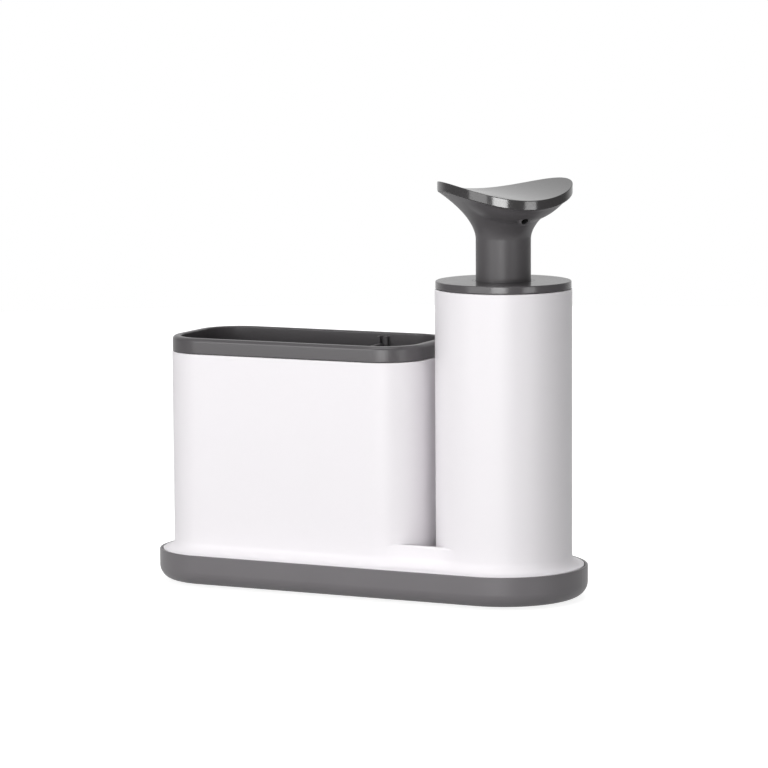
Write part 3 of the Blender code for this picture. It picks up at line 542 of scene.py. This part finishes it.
def makeGuideRibs():
    s = linerSizes
    thick = dividerHigh.x - dividerLow.x
    bottom, top = linerLow.z + s["floor"] - s["ribSink"], linerHigh.z - s["ribTopDrop"]
    ribs = grown("dividerGuides", guideRibTree(), {
        "Half Gap X": thick / 2 + air + s["ribThick"] / 2,
        "Half Width Y": holderHalf - linerInner - s["ribProud"] / 2 + s["ribSink"] / 2,
        "Thickness": s["ribThick"], "Proud": s["ribProud"] + s["ribSink"], "Height": top - bottom,
        "Material": rimGrey}, ((dividerLow.x + dividerHigh.x) / 2, 0, (bottom + top) / 2))
    finished(ribs, "liner", [], rimGrey)


def makeDivider():
    s = dividerSizes
    halfHeight = (dividerHigh.z - dividerLow.z) / 2
    middle = (dividerLow + dividerHigh) / 2
    corners = ((s["cap"], -dividerHalf, 0), (0, -dividerHalf, s["soft"]),
               (0, dividerHalf, s["soft"]), (s["cap"], dividerHalf, 0))
    loops = []
    for inset, x in softened(corners, 5):
        corner = max(s["corner"] - inset, s["leastCorner"]) + inset
        plan = stadium(-halfHeight, halfHeight, dividerHigh.y, corner, corner, inset, 8)
        loops.append([Vector((middle.x + x, y, middle.z + z)) for z, y in plan])
    finished(linked(loft("dividerPlate", loops)), "divider", ["liner_divider"], rimGrey)


makeLiner()
makeGuideRibs()
makeDivider()
print("liner and divider made")


# Lid and its rings

lidSizes = millimetres(height=3.5, topWall=2.2, edge=0.5, lowEdge=0.3, soft=0.25, plugLength=10, plugWall=3,
                       plugTip=0.6, plugInnerTip=0.4, plugRound=0.8, grooveDepth=1.7, grooveHeight=2.2,
                       grooveDrop=4.1, wellWall=1.6, wellFloor=2.2, wellRound=0.6, wellTip=0.5, neckAir=0.3,
                       guideWall=1.3, guideSoft=0.12)
guideLow, guideHigh, guideRadius = roundBox("neck_guide")
barrelRadius = 8 * mm
sealSteps = 20


def turnedPiece(name, corners, rounding=6, steps=96):
    return linked(turned(name, softened(corners, rounding), steps, pumpAxis))


def washer(name, inner, outer, bottom, top, soft, steps=96):
    corners = ((inner, top, soft), (outer, top, soft), (outer, bottom, soft), (inner, bottom, soft))
    return turnedPiece(name, corners, 4, steps)


def makeLid():
    s = lidSizes
    top, bottom, soft = lidHigh.z, lidHigh.z - s["height"], s["soft"]
    plug = bodySizes["bottleRadius"] - bodySizes["bottleWall"] - air
    plugInner, tip = plug - s["plugWall"], bottom - s["plugLength"]
    seat, seatFloor = guideRadius + s["neckAir"] / 4, guideLow.z - air
    bore = guideRadius - s["guideWall"] + air / 2
    wellOuter, wellTop, ceiling = bore + s["wellWall"], lidLow.z + s["wellFloor"], top - s["topWall"]
    groove, grooveTop = plug - s["grooveDepth"], bottom - s["grooveDrop"]
    grooveLow = grooveTop - s["grooveHeight"]
    hole = barrelRadius + air
    corners = ((hole, wellTop, soft), (bore, wellTop, s["wellRound"]), (bore, seatFloor, soft),
               (seat, seatFloor, soft), (seat, top, s["guideSoft"]), (lidRadius, top, s["edge"]),
               (lidRadius, bottom, s["lowEdge"]), (plug, bottom, soft), (plug, grooveTop, soft),
               (groove, grooveTop, soft), (groove, grooveLow, soft), (plug, grooveLow, soft),
               (plug, tip, s["plugTip"]), (plugInner, tip, s["plugInnerTip"]),
               (plugInner, ceiling, s["plugRound"]), (wellOuter, ceiling, s["plugRound"]),
               (wellOuter, lidLow.z, s["wellTip"]), (hole, lidLow.z, soft))
    lid = turnedPiece("lidDisc", corners, steps=roundSteps)
    finished(lid, "lid", ["bottle_lid"], lidGrey)
    ring = washer("guideRing", guideRadius - s["guideWall"] - s["neckAir"] / 3, guideRadius, guideLow.z,
                  lidHigh.z, s["guideSoft"])
    finished(ring, "lid", ["neck_guide"], lidGrey)
    low, high, outer = roundBox("lid_seal")
    thick = (high.z - low.z) / 2
    angles = [2 * pi * step / sealSteps for step in range(sealSteps)]
    profile = [(outer - thick + thick * cos(angle), low.z + thick - thick * sin(angle)) for angle in angles]
    seal = linked(turned("plugSeal", profile, 128, pumpAxis))
    finished(seal, "lid", ["lid_seal"], blackRubber)


makeLid()
print("lid made")


# Pump head. Its own frame has +X towards the outlet.

headSizes = millimetres(
    plateRise=40.9, flareRise=19.7, neckRadius=13.05, neckWall=1.65, neckEdge=0.4, neckEdgeMiddle=0.12,
    neckEdgeIn=0.3, longNeck=6, shortNeck=2, webThick=3.5, webSoft=0.5, stemHole=4.9, trumpetRadius=31.65,
    trumpetWall=1.5, trumpetEdge=0.15, trumpetSoft=0.12, lobeOffset=13.2, lobeAlong=27.9, lobeAcross=29.6,
    lobeDown=26.9, lobeRise=13.6, lobeBlend=1.2, plateRadius=31.9, plateShift=2, plateLift=6.86, plateFall=1,
    plateWall=1.8, plateBand=4.4, plateEdge=0.35, bandSoft=0.25, plateInner=0.5, plateHub=0.3, parting=0.12,
    lipWall=1.4, lipRise=2, lipSoft=0.3)
headTurning = radians(-43)
trumpetPower = 1.81  # how late the trumpet opens
aroundSteps, trumpetRings, innerEvery = 216, 56, 3  # the trumpet's inside takes one ring in three
coverRings, underRings, outletSteps = 24, 16, 72
outletSizes = millimetres(reach=24.65, drop=11, radius=1.75, bossRadius=2.9, bossProud=0.6, bossSoft=0.6,
                          bossLength=6, land=0.5, seatRadius=2.25, depth=9, over=4)
outletTilt = radians(35)
plateZ = lidHigh.z + headSizes["plateRise"]
flareZ = lidHigh.z + headSizes["flareRise"]
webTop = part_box("return_spring")[1].z + air + headSizes["webThick"]
headTurn = Matrix.Translation(pumpAxis) @ Matrix.Rotation(headTurning, 4, "Z")
outletAxis = Vector((cos(outletTilt), 0, -sin(outletTilt)))
outletMouth = Vector((outletSizes["reach"], 0, plateZ - outletSizes["drop"]))


def plateHeight(x, y):
    s = headSizes
    return plateZ + s["plateLift"] * (y / s["plateRadius"]) ** 2 - s["plateFall"] * x / s["plateRadius"]


def plateReach(angle, radius):  # from the pump's axis to a circle round the plate's own middle
    shift = headSizes["plateShift"]
    return shift * cos(angle) + sqrt(radius ** 2 - (shift * sin(angle)) ** 2)


def lobeReach(angle, z):
    s = headSizes
    height = 1 - ((z - plateZ - s["lobeRise"]) / s["lobeDown"]) ** 2
    if height <= 0:
        return 0
    along, across = s["lobeAlong"] * sqrt(height), s["lobeAcross"] * sqrt(height)
    a = (cos(angle) / along) ** 2 + (sin(angle) / across) ** 2
    b = -2 * s["lobeOffset"] * cos(angle) / along ** 2
    c = (s["lobeOffset"] / along) ** 2 - 1
    inside = b ** 2 - 4 * a * c
    return (-b + sqrt(inside)) / (2 * a) if inside > 0 else 0


def smoothMax(first, second, blend):
    spread = max(blend - abs(first - second), 0) / blend
    return max(first, second) + spread ** 2 * blend / 4


def trumpetPoint(angle, share):
    s = headSizes
    rim = plateReach(angle, s["trumpetRadius"])
    rimZ = plateHeight(rim * cos(angle), rim * sin(angle)) - s["plateBand"] - s["parting"]
    z = flareZ + (rimZ - flareZ) * share
    reach = s["neckRadius"] + (rim - s["neckRadius"]) * share ** trumpetPower
    return min(smoothMax(reach, lobeReach(angle, z), s["lobeBlend"]), rim), z


def around(reachAndHeight):
    loop = []
    for step in range(aroundSteps):
        angle = 2 * pi * step / aroundSteps
        reach, z = reachAndHeight(angle)
        loop.append(Vector((reach * cos(angle), reach * sin(angle), z)))
    return loop


def flatLoops(*pairs):
    return [around(lambda angle, pair=pair: pair) for pair in pairs]


def plateLoop(radius, drop):
    def point(angle):
        reach = plateReach(angle, radius)
        return reach, plateHeight(reach * cos(angle), reach * sin(angle)) - drop
    return around(point)


def coverLoop(radius, drop):  # round the plate's own middle
    loop = []
    for step in range(aroundSteps):
        angle = 2 * pi * step / aroundSteps
        x, y = headSizes["plateShift"] + radius * cos(angle), radius * sin(angle)
        loop.append(Vector((x, y, plateHeight(x, y) - drop)))
    return loop


def makeHeadBody():
    s, o = headSizes, outletSizes
    neck, low = s["neckRadius"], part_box("head_body")[0].z
    bore = neck - s["neckWall"]
    lip = s["plateRadius"] - s["plateWall"] - air
    drop = s["plateBand"] + s["parting"]
    rimDrop, lipDrop = drop - s["trumpetSoft"], drop - s["lipRise"]

    def innerPoint(share):
        def point(angle):
            reach, z = trumpetPoint(angle, share)
            return min(reach - s["trumpetWall"], plateReach(angle, lip - s["lipWall"])), z + s["trumpetWall"]
        return point

    loops = flatLoops((bore, low + s["neckEdge"]), (bore + s["neckEdgeIn"], low), (neck - s["neckEdge"], low),
                      (neck - s["neckEdgeMiddle"], low + s["neckEdgeMiddle"]), (neck, low + s["neckEdge"]),
                      (neck, flareZ - s["longNeck"]), (neck, flareZ - s["shortNeck"]))
    shares = [step / trumpetRings for step in range(trumpetRings + 1)]
    loops += [around(lambda angle, share=share: trumpetPoint(angle, share)) for share in shares]
    loops += [plateLoop(radius, height) for radius, height in (
        (s["trumpetRadius"] - s["trumpetEdge"], rimDrop), (lip, rimDrop), (lip, lipDrop + s["lipSoft"]),
        (lip - s["lipSoft"], lipDrop), (lip - s["lipWall"], lipDrop))]
    loops += [around(innerPoint(share)) for share in reversed(shares[innerEvery:-innerEvery:innerEvery])]
    loops += flatLoops((bore, flareZ), (bore, webTop + s["webSoft"]), (bore - s["webSoft"], webTop),
                       (s["stemHole"], webTop), (s["stemHole"], webTop - s["webThick"]),
                       (bore, webTop - s["webThick"]))
    head = linked(loft("trumpetHead", loops, True))

    seating = pointing(outletMouth, outletAxis)
    corners = ((0, -o["bossLength"], 0), (o["bossRadius"], -o["bossLength"], 0),
               (o["bossRadius"], o["bossProud"], o["bossSoft"]), (0, o["bossProud"], 0))
    boss = moved(turned("boss", softened(corners, 8), outletSteps), seating)
    step = o["bossProud"] - o["land"]
    corners = ((0, -o["depth"]), (o["seatRadius"], -o["depth"]), (o["seatRadius"], step), (o["radius"], step),
               (o["radius"], o["over"]), (0, o["over"]))
    hole = moved(turned("hole", corners, outletSteps), seating)
    combined(head, ((boss, "UNION"), (hole, "DIFFERENCE")))
    moved(head.data, headTurn)
    finished(head, "head", ["head_body"], neckGrey, sharp=34)


def makeHeadCover():
    s = headSizes
    radius, wall, hub, soft = s["plateRadius"], s["plateWall"], s["plateHub"], s["bandSoft"]
    inner = radius - wall
    corners = ((hub, 0, 0), (radius, 0, s["plateEdge"]), (radius, s["plateBand"], soft),
               (inner, s["plateBand"], soft), (inner, wall, s["plateInner"]), (hub, wall, 0))
    profile = softened(corners)
    top = [(radius * step / coverRings, 0) for step in range(1, coverRings - 1)]
    under = [(inner * step / underRings, wall) for step in range(underRings - 1, 0, -1)]
    profile = [profile[0]] + top + profile[1:-1] + under + [profile[-1]]
    cover = linked(loft("pressPlate", [coverLoop(reach, drop) for reach, drop in profile]))
    moved(cover.data, headTurn)
    finished(cover, "head", ["head_cover"], plateGrey, sharp=50)


makeHeadBody()
makeHeadCover()
print("pump head made")


# Pump inside the lid

pumpSizes = millimetres(
    barrelWall=1.4, flangeThick=2, seatRadius=1.6, seatLand=1.2, socketDepth=10.2, socketWall=1.3, shoulder=1.5,
    coneRound=1, soft=0.3, edge=0.4, smallSoft=0.2, gasketSoft=0.15, finThick=0.8, finHeight=2, finReach=3.8,
    finSink=0.4, ballLift=1.5, dipRadius=3, dipWall=1, tubeCut=2.2, cutterDepth=8, cutterRadius=9)
tubeCutTilt = radians(20)
nutSizes = millimetres(corner=0.8, foot=1.1, bulge=0.25, bulgeRise=0.5, footRise=0.9, topEdge=0.5, flare=2.4,
                       flareDepth=0.4, over=2)
stemSizes = millimetres(radius=3.1, bore=1.6, collar=5, upperCollar=2, soft=0.3, edge=0.4, smallSoft=0.2,
                        grooveSoft=0.1, waist=0.8, lip=1.6, lipSoft=0.5, slope=0.6, guideFlange=1.5)
springSizes = {"wire": 0.6 * mm, "turns": 6, "flatShare": 0.12, "stroke": 12 * mm, "turnPoints": 64,
               "sides": 16}
elbowSizes = millimetres(radius=4.6, flange=2.4, flangeThick=1.5, shoulder=2.2, tube=2.05, bore=1.6, seat=0.2,
                         straight=6.5, bend=8, climb=12, stemEntry=1.5, tubeStart=1.5, over=3, soft=0.3,
                         edge=0.4, tipSoft=0.1, innerSoft=0.15)
ballSteps = 32


def finRingTree():  # upright fins standing round a bore, all alike
    tree, given = geometryTree("finRing", {
        "Ring Radius": 0.005, "Thickness": 0.0008, "Reach": 0.004, "Height": 0.002, "Count": 3})
    ring = wired(tree, "GeometryNodeMeshCircle", {"Vertices": given["Count"], "Radius": given["Ring Radius"]})
    index = tree.nodes.new("GeometryNodeInputIndex").outputs[0]
    angle = times(tree, worked(tree, "DIVIDE", index, given["Count"]), 2 * pi)
    turn = wired(tree, "ShaderNodeCombineXYZ", {"Z": angle})
    return boxesOn(tree, ring, given, ("Reach", "Thickness", "Height"), (8, 3, 5), turn.outputs[0])


def springTree():  # a wire wound round Z, with a flat turn at each end
    tree, given = geometryTree("coilSpring", {
        "Coil Radius": 0.0084, "Wire Radius": 0.0006, "Climb": 0.0245, "Turns": 6.0, "Flat Share": 0.12,
        "Points": 400, "Sides": 14})
    line = wired(tree, "GeometryNodeMeshLine", {"Count": given["Points"]})
    wire = wired(tree, "GeometryNodeMeshToCurve", {0: line.outputs[0]})
    index = tree.nodes.new("GeometryNodeInputIndex").outputs[0]
    share = worked(tree, "DIVIDE", index, worked(tree, "SUBTRACT", given["Points"], 1))
    angle = times(tree, times(tree, share, given["Turns"]), 2 * pi)
    span = worked(tree, "SUBTRACT", 1, times(tree, given["Flat Share"], 2))
    rise = worked(tree, "DIVIDE", worked(tree, "SUBTRACT", share, given["Flat Share"]), span, clamp=True)
    spot = wired(tree, "ShaderNodeCombineXYZ", {
        "X": times(tree, given["Coil Radius"], worked(tree, "COSINE", angle)),
        "Y": times(tree, given["Coil Radius"], worked(tree, "SINE", angle)),
        "Z": times(tree, rise, given["Climb"])})
    bent = wired(tree, "GeometryNodeSetPosition", {"Geometry": wire.outputs[0], "Position": spot.outputs[0]})
    section = wired(tree, "GeometryNodeCurvePrimitiveCircle", {
        "Radius": given["Wire Radius"], "Resolution": given["Sides"]})
    skin = wired(tree, "GeometryNodeCurveToMesh", {
        "Curve": bent.outputs["Geometry"], "Profile Curve": section.outputs["Curve"], "Fill Caps": True})
    return painted(tree, skin.outputs["Mesh"], given)


def makeHousing():
    s = pumpSizes
    low, high, flange = roundBox("pump_housing")
    low, high, bore = low.z, high.z, barrelRadius - s["barrelWall"]
    flangeLow, socketTop = high - s["flangeThick"], low + s["socketDepth"]
    coneLow = socketTop + s["seatLand"]
    coneHigh = coneLow + bore - s["seatRadius"]
    socketBore = s["dipRadius"] + air
    socketOuter = socketBore + s["socketWall"]
    soft, small = s["soft"], s["smallSoft"]
    housing = turnedPiece("pumpBarrel", (
        (bore, high, soft), (flange, high, s["edge"]), (flange, flangeLow, s["edge"]),
        (barrelRadius, flangeLow, small), (barrelRadius, coneHigh - s["barrelWall"] / 2, s["shoulder"]),
        (socketOuter, socketTop, s["shoulder"]), (socketOuter, low, soft), (socketBore, low, soft),
        (socketBore, socketTop, small), (s["seatRadius"], socketTop, small), (s["seatRadius"], coneLow, soft),
        (bore, coneHigh, s["coneRound"])))
    finished(housing, "lid", ["pump_housing"], naturalPlastic)
    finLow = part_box("inlet_ball")[1].z + s["ballLift"] + air
    fins = grown("ballFins", finRingTree(), {
        "Ring Radius": bore - s["finReach"] / 2 + s["finSink"] / 2, "Thickness": s["finThick"],
        "Reach": s["finReach"] + s["finSink"], "Height": s["finHeight"], "Count": 3,
        "Material": naturalPlastic}, pumpAxis + Vector((0, 0, finLow + s["finHeight"] / 2)))
    finished(fins, "lid", [], naturalPlastic)
    low, high, outer = roundBox("housing_gasket")
    gasket = washer("flangeGasket", barrelRadius + air, outer, low.z, high.z, s["gasketSoft"])
    finished(gasket, "lid", ["housing_gasket"], blackRubber)


def makeNut():
    s = nutSizes
    low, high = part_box("housing_nut")
    reach = max(high.x - low.x, high.y - low.y) / 2

    def hexagon(inset):
        size = reach - inset
        return softened([(size * cos(pi / 3 * side), size * sin(pi / 3 * side), s["corner"])
                         for side in range(6)])

    levels = ((s["foot"], low.z), (s["bulge"], low.z + s["bulgeRise"]), (0, low.z + s["footRise"]),
              (0, high.z - s["topEdge"]), (s["topEdge"], high.z))
    nut = linked(stacked("barrelNut", hexagon, levels))
    moved(nut.data, Matrix.Translation(pumpAxis))
    hole = barrelRadius + air
    above, below = high.z + s["over"], low.z - s["over"]
    cutter = turned("nutHole", (
        (0, above), (hole + s["flare"], above), (hole, high.z - s["flareDepth"]),
        (hole, low.z + s["flareDepth"]), (hole + s["flare"], below), (0, below)), place=pumpAxis)
    combined(nut, ((cutter, "DIFFERENCE"),))
    finished(nut, "lid", ["housing_nut"], naturalPlastic, sharp=25)


def makeInlet():
    s = pumpSizes
    low, high, radius = roundBox("inlet_ball")
    middle = (low.z + high.z) / 2
    angles = [pi * step / ballSteps for step in range(1, ballSteps)]
    profile = [(radius * sin(angle), middle + radius * cos(angle)) for angle in angles]
    profile = [(0, middle + radius)] + profile + [(0, middle - radius)]
    ball = linked(turned("inletBall", profile, 2 * ballSteps, pumpAxis))
    finished(ball, "ball", ["inlet_ball"], drawnSteel)
    low, high, outer = roundBox("dip_tube")
    tube = washer("dipTube", outer - s["dipWall"], outer, low.z, high.z, s["smallSoft"], 64)
    slant = turned("slantCut", ((0, -s["cutterDepth"]), (s["cutterRadius"], -s["cutterDepth"]),
                                (s["cutterRadius"], 0), (0, 0)), 48)
    tilt = Matrix.Rotation(tubeCutTilt, 4, "Y")
    moved(slant, Matrix.Translation(pumpAxis + Vector((0, 0, low.z + s["tubeCut"] / 2))) @ tilt)
    combined(tube, ((slant, "DIFFERENCE"),))
    finished(tube, "lid", ["dip_tube"], cloudyTube)


def makeStem():
    s = stemSizes
    stemLow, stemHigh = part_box("pump_stem")
    pistonLow, pistonHigh, piston = roundBox("pump_piston")
    upper, lower = pistonHigh.z + air, pistonLow.z - air
    soft, edge, small, shaft = s["soft"], s["edge"], s["smallSoft"], s["radius"]
    collarTop = upper + s["upperCollar"]
    stem = turnedPiece("pumpStem", (
        (s["bore"], stemHigh.z, small), (shaft, stemHigh.z, soft), (shaft, collarTop, soft),
        (s["collar"], collarTop, soft), (s["collar"], upper, soft), (shaft, upper, s["grooveSoft"]),
        (shaft, lower, s["grooveSoft"]), (s["collar"], lower, soft), (s["collar"], stemLow.z, soft),
        (s["bore"], stemLow.z, small)))
    finished(stem, "stem", ["pump_stem"], naturalPlastic)
    inner, waist, lipSoft = shaft + air, piston - s["waist"], s["lipSoft"]
    top, bottom = pistonHigh.z - s["lip"], pistonLow.z + s["lip"]
    seal = turnedPiece("sealPiston", (
        (inner, pistonHigh.z, soft), (piston, pistonHigh.z, lipSoft), (piston, top, soft),
        (waist, top - s["slope"], lipSoft), (waist, bottom + s["slope"], lipSoft), (piston, bottom, soft),
        (piston, pistonLow.z, lipSoft), (inner, pistonLow.z, soft)))
    finished(seal, "stem", ["pump_piston"], blackRubber)
    low, high, flange = roundBox("stem_guide")
    flangeLow = high.z - s["guideFlange"]
    guide = turnedPiece("stemGuide", (
        (inner, high.z, edge), (flange, high.z, edge), (flange, flangeLow, soft), (piston, flangeLow, small),
        (piston, low.z, soft), (inner, low.z, soft)))
    finished(guide, "lid", ["stem_guide"], naturalPlastic)


def makeSpring():
    s = springSizes
    low, high, outer = roundBox("return_spring")
    length = high.z - low.z
    spring = grown("returnSpring", springTree(), {
        "Coil Radius": outer - s["wire"], "Wire Radius": s["wire"], "Climb": length - 2 * s["wire"],
        "Turns": float(s["turns"]), "Flat Share": s["flatShare"], "Points": s["turns"] * s["turnPoints"] + 1,
        "Sides": s["sides"], "Material": drawnSteel}, (pumpAxis.x, 0, low.z + s["wire"]))
    finished(spring, "lid", ["return_spring"], drawnSteel, sharp=60)
    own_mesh(spring)


def tubeAlong(name, points, radius, steps=32):  # round tube along points that lie in the plane y = 0
    across = Vector((0, 1, 0))
    angles = [2 * pi * step / steps for step in range(steps)]
    loops = []
    for index, point in enumerate(points):
        way = (points[min(index + 1, len(points) - 1)] - points[max(index - 1, 0)]).normalized()
        side = way.cross(across)
        loops.append([point + (side * cos(angle) + across * sin(angle)) * radius for angle in angles])
    return loft(name, loops)


def channelPath(before, after, fineness=28):
    e = elbowSizes
    bendEnd = outletMouth - outletAxis * (e["seat"] + e["straight"])
    bendStart = Vector((0, 0, webTop + e["climb"]))
    firstPull = bendStart + Vector((0, 0, e["climb"]))
    secondPull = bendEnd - outletAxis * e["bend"]
    path = [Vector((0, 0, webTop - headSizes["webThick"] + e["stemEntry"] + air - before))]
    for step in range(fineness + 1):
        t = step / fineness
        rest = 1 - t
        path.append(bendStart * rest ** 3 + firstPull * 3 * t * rest ** 2 + secondPull * 3 * t ** 2 * rest
                    + bendEnd * t ** 3)
    return path + [outletMouth - outletAxis * (e["seat"] - after)]


def makeElbow():
    e = elbowSizes
    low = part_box("delivery_elbow")[0].z
    flangeLow = webTop + air
    flangeHigh = flangeLow + e["flangeThick"]
    top, wide = flangeHigh + e["shoulder"], e["radius"] + e["flange"]
    corners = ((0, top, 0), (e["tube"], top, e["tipSoft"]), (e["radius"], flangeHigh, e["edge"]),
               (wide, flangeHigh, e["soft"]), (wide, flangeLow, e["soft"]),
               (e["radius"], flangeLow, e["innerSoft"]), (e["radius"], low, e["edge"]), (0, low, 0))
    elbow = linked(turned("deliveryElbow", softened(corners, 5), 72))
    stemHole = stemSizes["radius"] + air
    stemTop, below = webTop - headSizes["webThick"] + e["stemEntry"] + air, low - e["over"]
    socket = turned("stemSocket", ((0, stemTop), (stemHole, stemTop), (stemHole, below), (0, below)), 64)
    tube = tubeAlong("channelTube", channelPath(-e["tubeStart"], 0), e["tube"])
    bore = tubeAlong("channelBore", channelPath(e["over"], e["over"]), e["bore"])
    combined(elbow, ((tube, "UNION"), (socket, "DIFFERENCE"), (bore, "DIFFERENCE")))
    moved(elbow.data, headTurn)
    # the elbow's near-black colour is painted shade, so the outlet hole reads dark
    finished(elbow, "head", ["delivery_elbow"], shadeBlackChannel)


makeHousing()
makeNut()
makeInlet()
makeStem()
makeSpring()
makeElbow()
print("pump made")


# Stage, lights and camera

stageSizes = {"radius": 1.35, "drop": 0.02 * mm, "floorTone": 0.45, "floorRoughness": 0.9, "floorSpecular": 0.1,
              "floorGlow": 0.85, "sweepGlow": 0.48, "sweepMiddle": 0.6, "sweepFrom": 1.2, "sweepTo": 0.7,
              "skyGlow": 0.26, "backdropGlow": 0.8, "backdropFrom": 0.45, "backdropTo": 0.85}
view = {"azimuth": radians(25.25), "pitch": radians(7.03), "roll": radians(-0.362), "focalPixels": 3604.8,
        "pixels": 768, "sensor": 36, "distance": 1737.3 * mm, "target": (6.1 * mm, 0, 99.27 * mm),
        "clipEnd": 50}
lampTarget = Vector((0, 0, 0.1))
softboxes = {  # azimuths count from the camera to its right, in degrees
    "frontBox": {"azimuth": -7.5, "height": 0.10, "distance": 1.5, "size": (0.64, 0.32), "power": 8.2},
    "leftBox": {"azimuth": -46, "height": 0.40, "distance": 1.5, "size": (0.92, 0.98), "power": 10.2},
    "rightBox": {"azimuth": 43, "height": 0.02, "distance": 1.5, "size": (0.5, 0.18), "power": 2.1},
    "lowStrip": {"azimuth": -25, "height": 0.03, "distance": 1.05, "size": (0.12, 0.05), "power": 0.16},
    "topBox": {"azimuth": -20, "height": 1.5, "distance": 0.25, "size": (1.0, 0.8), "power": 8.2},
    "backBox": {"azimuth": 180, "height": 0.30, "distance": 1.6, "size": (1.6, 0.8), "power": 9,
                "mirrored": False},
}


def makeStage():
    s = stageSizes
    white = (1, 1, 1, 1)
    behind = (-sin(view["azimuth"]), cos(view["azimuth"]), 0)
    floor = linked(turned("floor", ((0, -s["drop"]), (s["radius"], -s["drop"])), 128))
    paper = bpy.data.materials.new("whitePaper")
    paper.use_nodes = True
    tree = paper.node_tree
    rays = tree.nodes.new("ShaderNodeLightPath").outputs
    place = tree.nodes.new("ShaderNodeTexCoord").outputs["Object"]
    spread = wired(tree, "ShaderNodeVectorMath", {  # the sweep is brightest behind the object
        0: place, 1: [part * s["sweepMiddle"] for part in behind]}, operation="DISTANCE")
    sweep = wired(tree, "ShaderNodeMapRange", {"Value": spread.outputs["Value"], "From Min": s["sweepFrom"],
                                               "From Max": s["sweepTo"], "To Max": s["sweepGlow"]})
    mirrored = times(tree, rays["Is Glossy Ray"], sweep.outputs["Result"])
    fed(tree, tree.nodes["Principled BSDF"], {
        "Base Color": (s["floorTone"],) * 3 + (1,), "Roughness": s["floorRoughness"],
        "Specular IOR Level": s["floorSpecular"], "Emission Color": white,
        "Emission Strength": worked(tree, "MULTIPLY_ADD", rays["Is Camera Ray"], s["floorGlow"], mirrored)})
    floor.data.materials.append(paper)

    world = bpy.data.worlds.new("studio")  # a bright backdrop behind the object, dim sides, white to the eye
    bpy.context.scene.world = world
    world.use_nodes = True
    tree = world.node_tree
    place = tree.nodes.new("ShaderNodeTexCoord").outputs["Generated"]
    facing = wired(tree, "ShaderNodeVectorMath", {0: place, 1: behind}, operation="DOT_PRODUCT")
    backdrop = wired(tree, "ShaderNodeMapRange", {
        "Value": facing.outputs["Value"], "From Min": s["backdropFrom"], "From Max": s["backdropTo"],
        "To Min": s["skyGlow"], "To Max": s["backdropGlow"]}, interpolation_type="SMOOTHSTEP")
    rays = tree.nodes.new("ShaderNodeLightPath").outputs
    strength = wired(tree, "ShaderNodeMix", {
        "Factor": rays["Is Camera Ray"], "A": backdrop.outputs["Result"], "B": 1})
    fed(tree, tree.nodes["Background"], {"Color": white, "Strength": strength.outputs["Result"]})


def makeCamera():
    azimuth, pitch, roll = view["azimuth"], view["pitch"], view["roll"]
    forward = Vector((-sin(azimuth) * cos(pitch), cos(azimuth) * cos(pitch), -sin(pitch)))
    right = Vector((cos(azimuth), sin(azimuth), 0))
    up = right.cross(forward)
    rolledRight = right * cos(roll) + up * sin(roll)
    rolledUp = up * cos(roll) - right * sin(roll)
    lens = bpy.data.cameras.new("photoCamera")
    lens.sensor_width = view["sensor"]
    lens.lens = view["focalPixels"] * view["sensor"] / view["pixels"]
    lens.clip_end = view["clipEnd"]
    camera = linked(lens)
    turn = Matrix((rolledRight, rolledUp, -forward)).transposed().to_4x4()
    camera.matrix_world = Matrix.Translation(Vector(view["target"]) - forward * view["distance"]) @ turn
    bpy.context.scene.camera = camera


def makeLights():
    for name, box in softboxes.items():
        azimuth = view["azimuth"] + radians(box["azimuth"])
        place = Vector((box["distance"] * sin(azimuth), -box["distance"] * cos(azimuth), box["height"]))
        lamp = bpy.data.lights.new(name, "AREA")
        lamp.shape = "RECTANGLE"
        lamp.size, lamp.size_y = box["size"]
        lamp.energy = box["power"]
        obj = linked(lamp)
        obj.visible_glossy = box.get("mirrored", True)
        obj.matrix_world = pointing(place, place - lampTarget)


makeStage()
makeCamera()
makeLights()
bpy.context.scene.view_settings.view_transform = "Standard"
print("stage, lights and camera made")
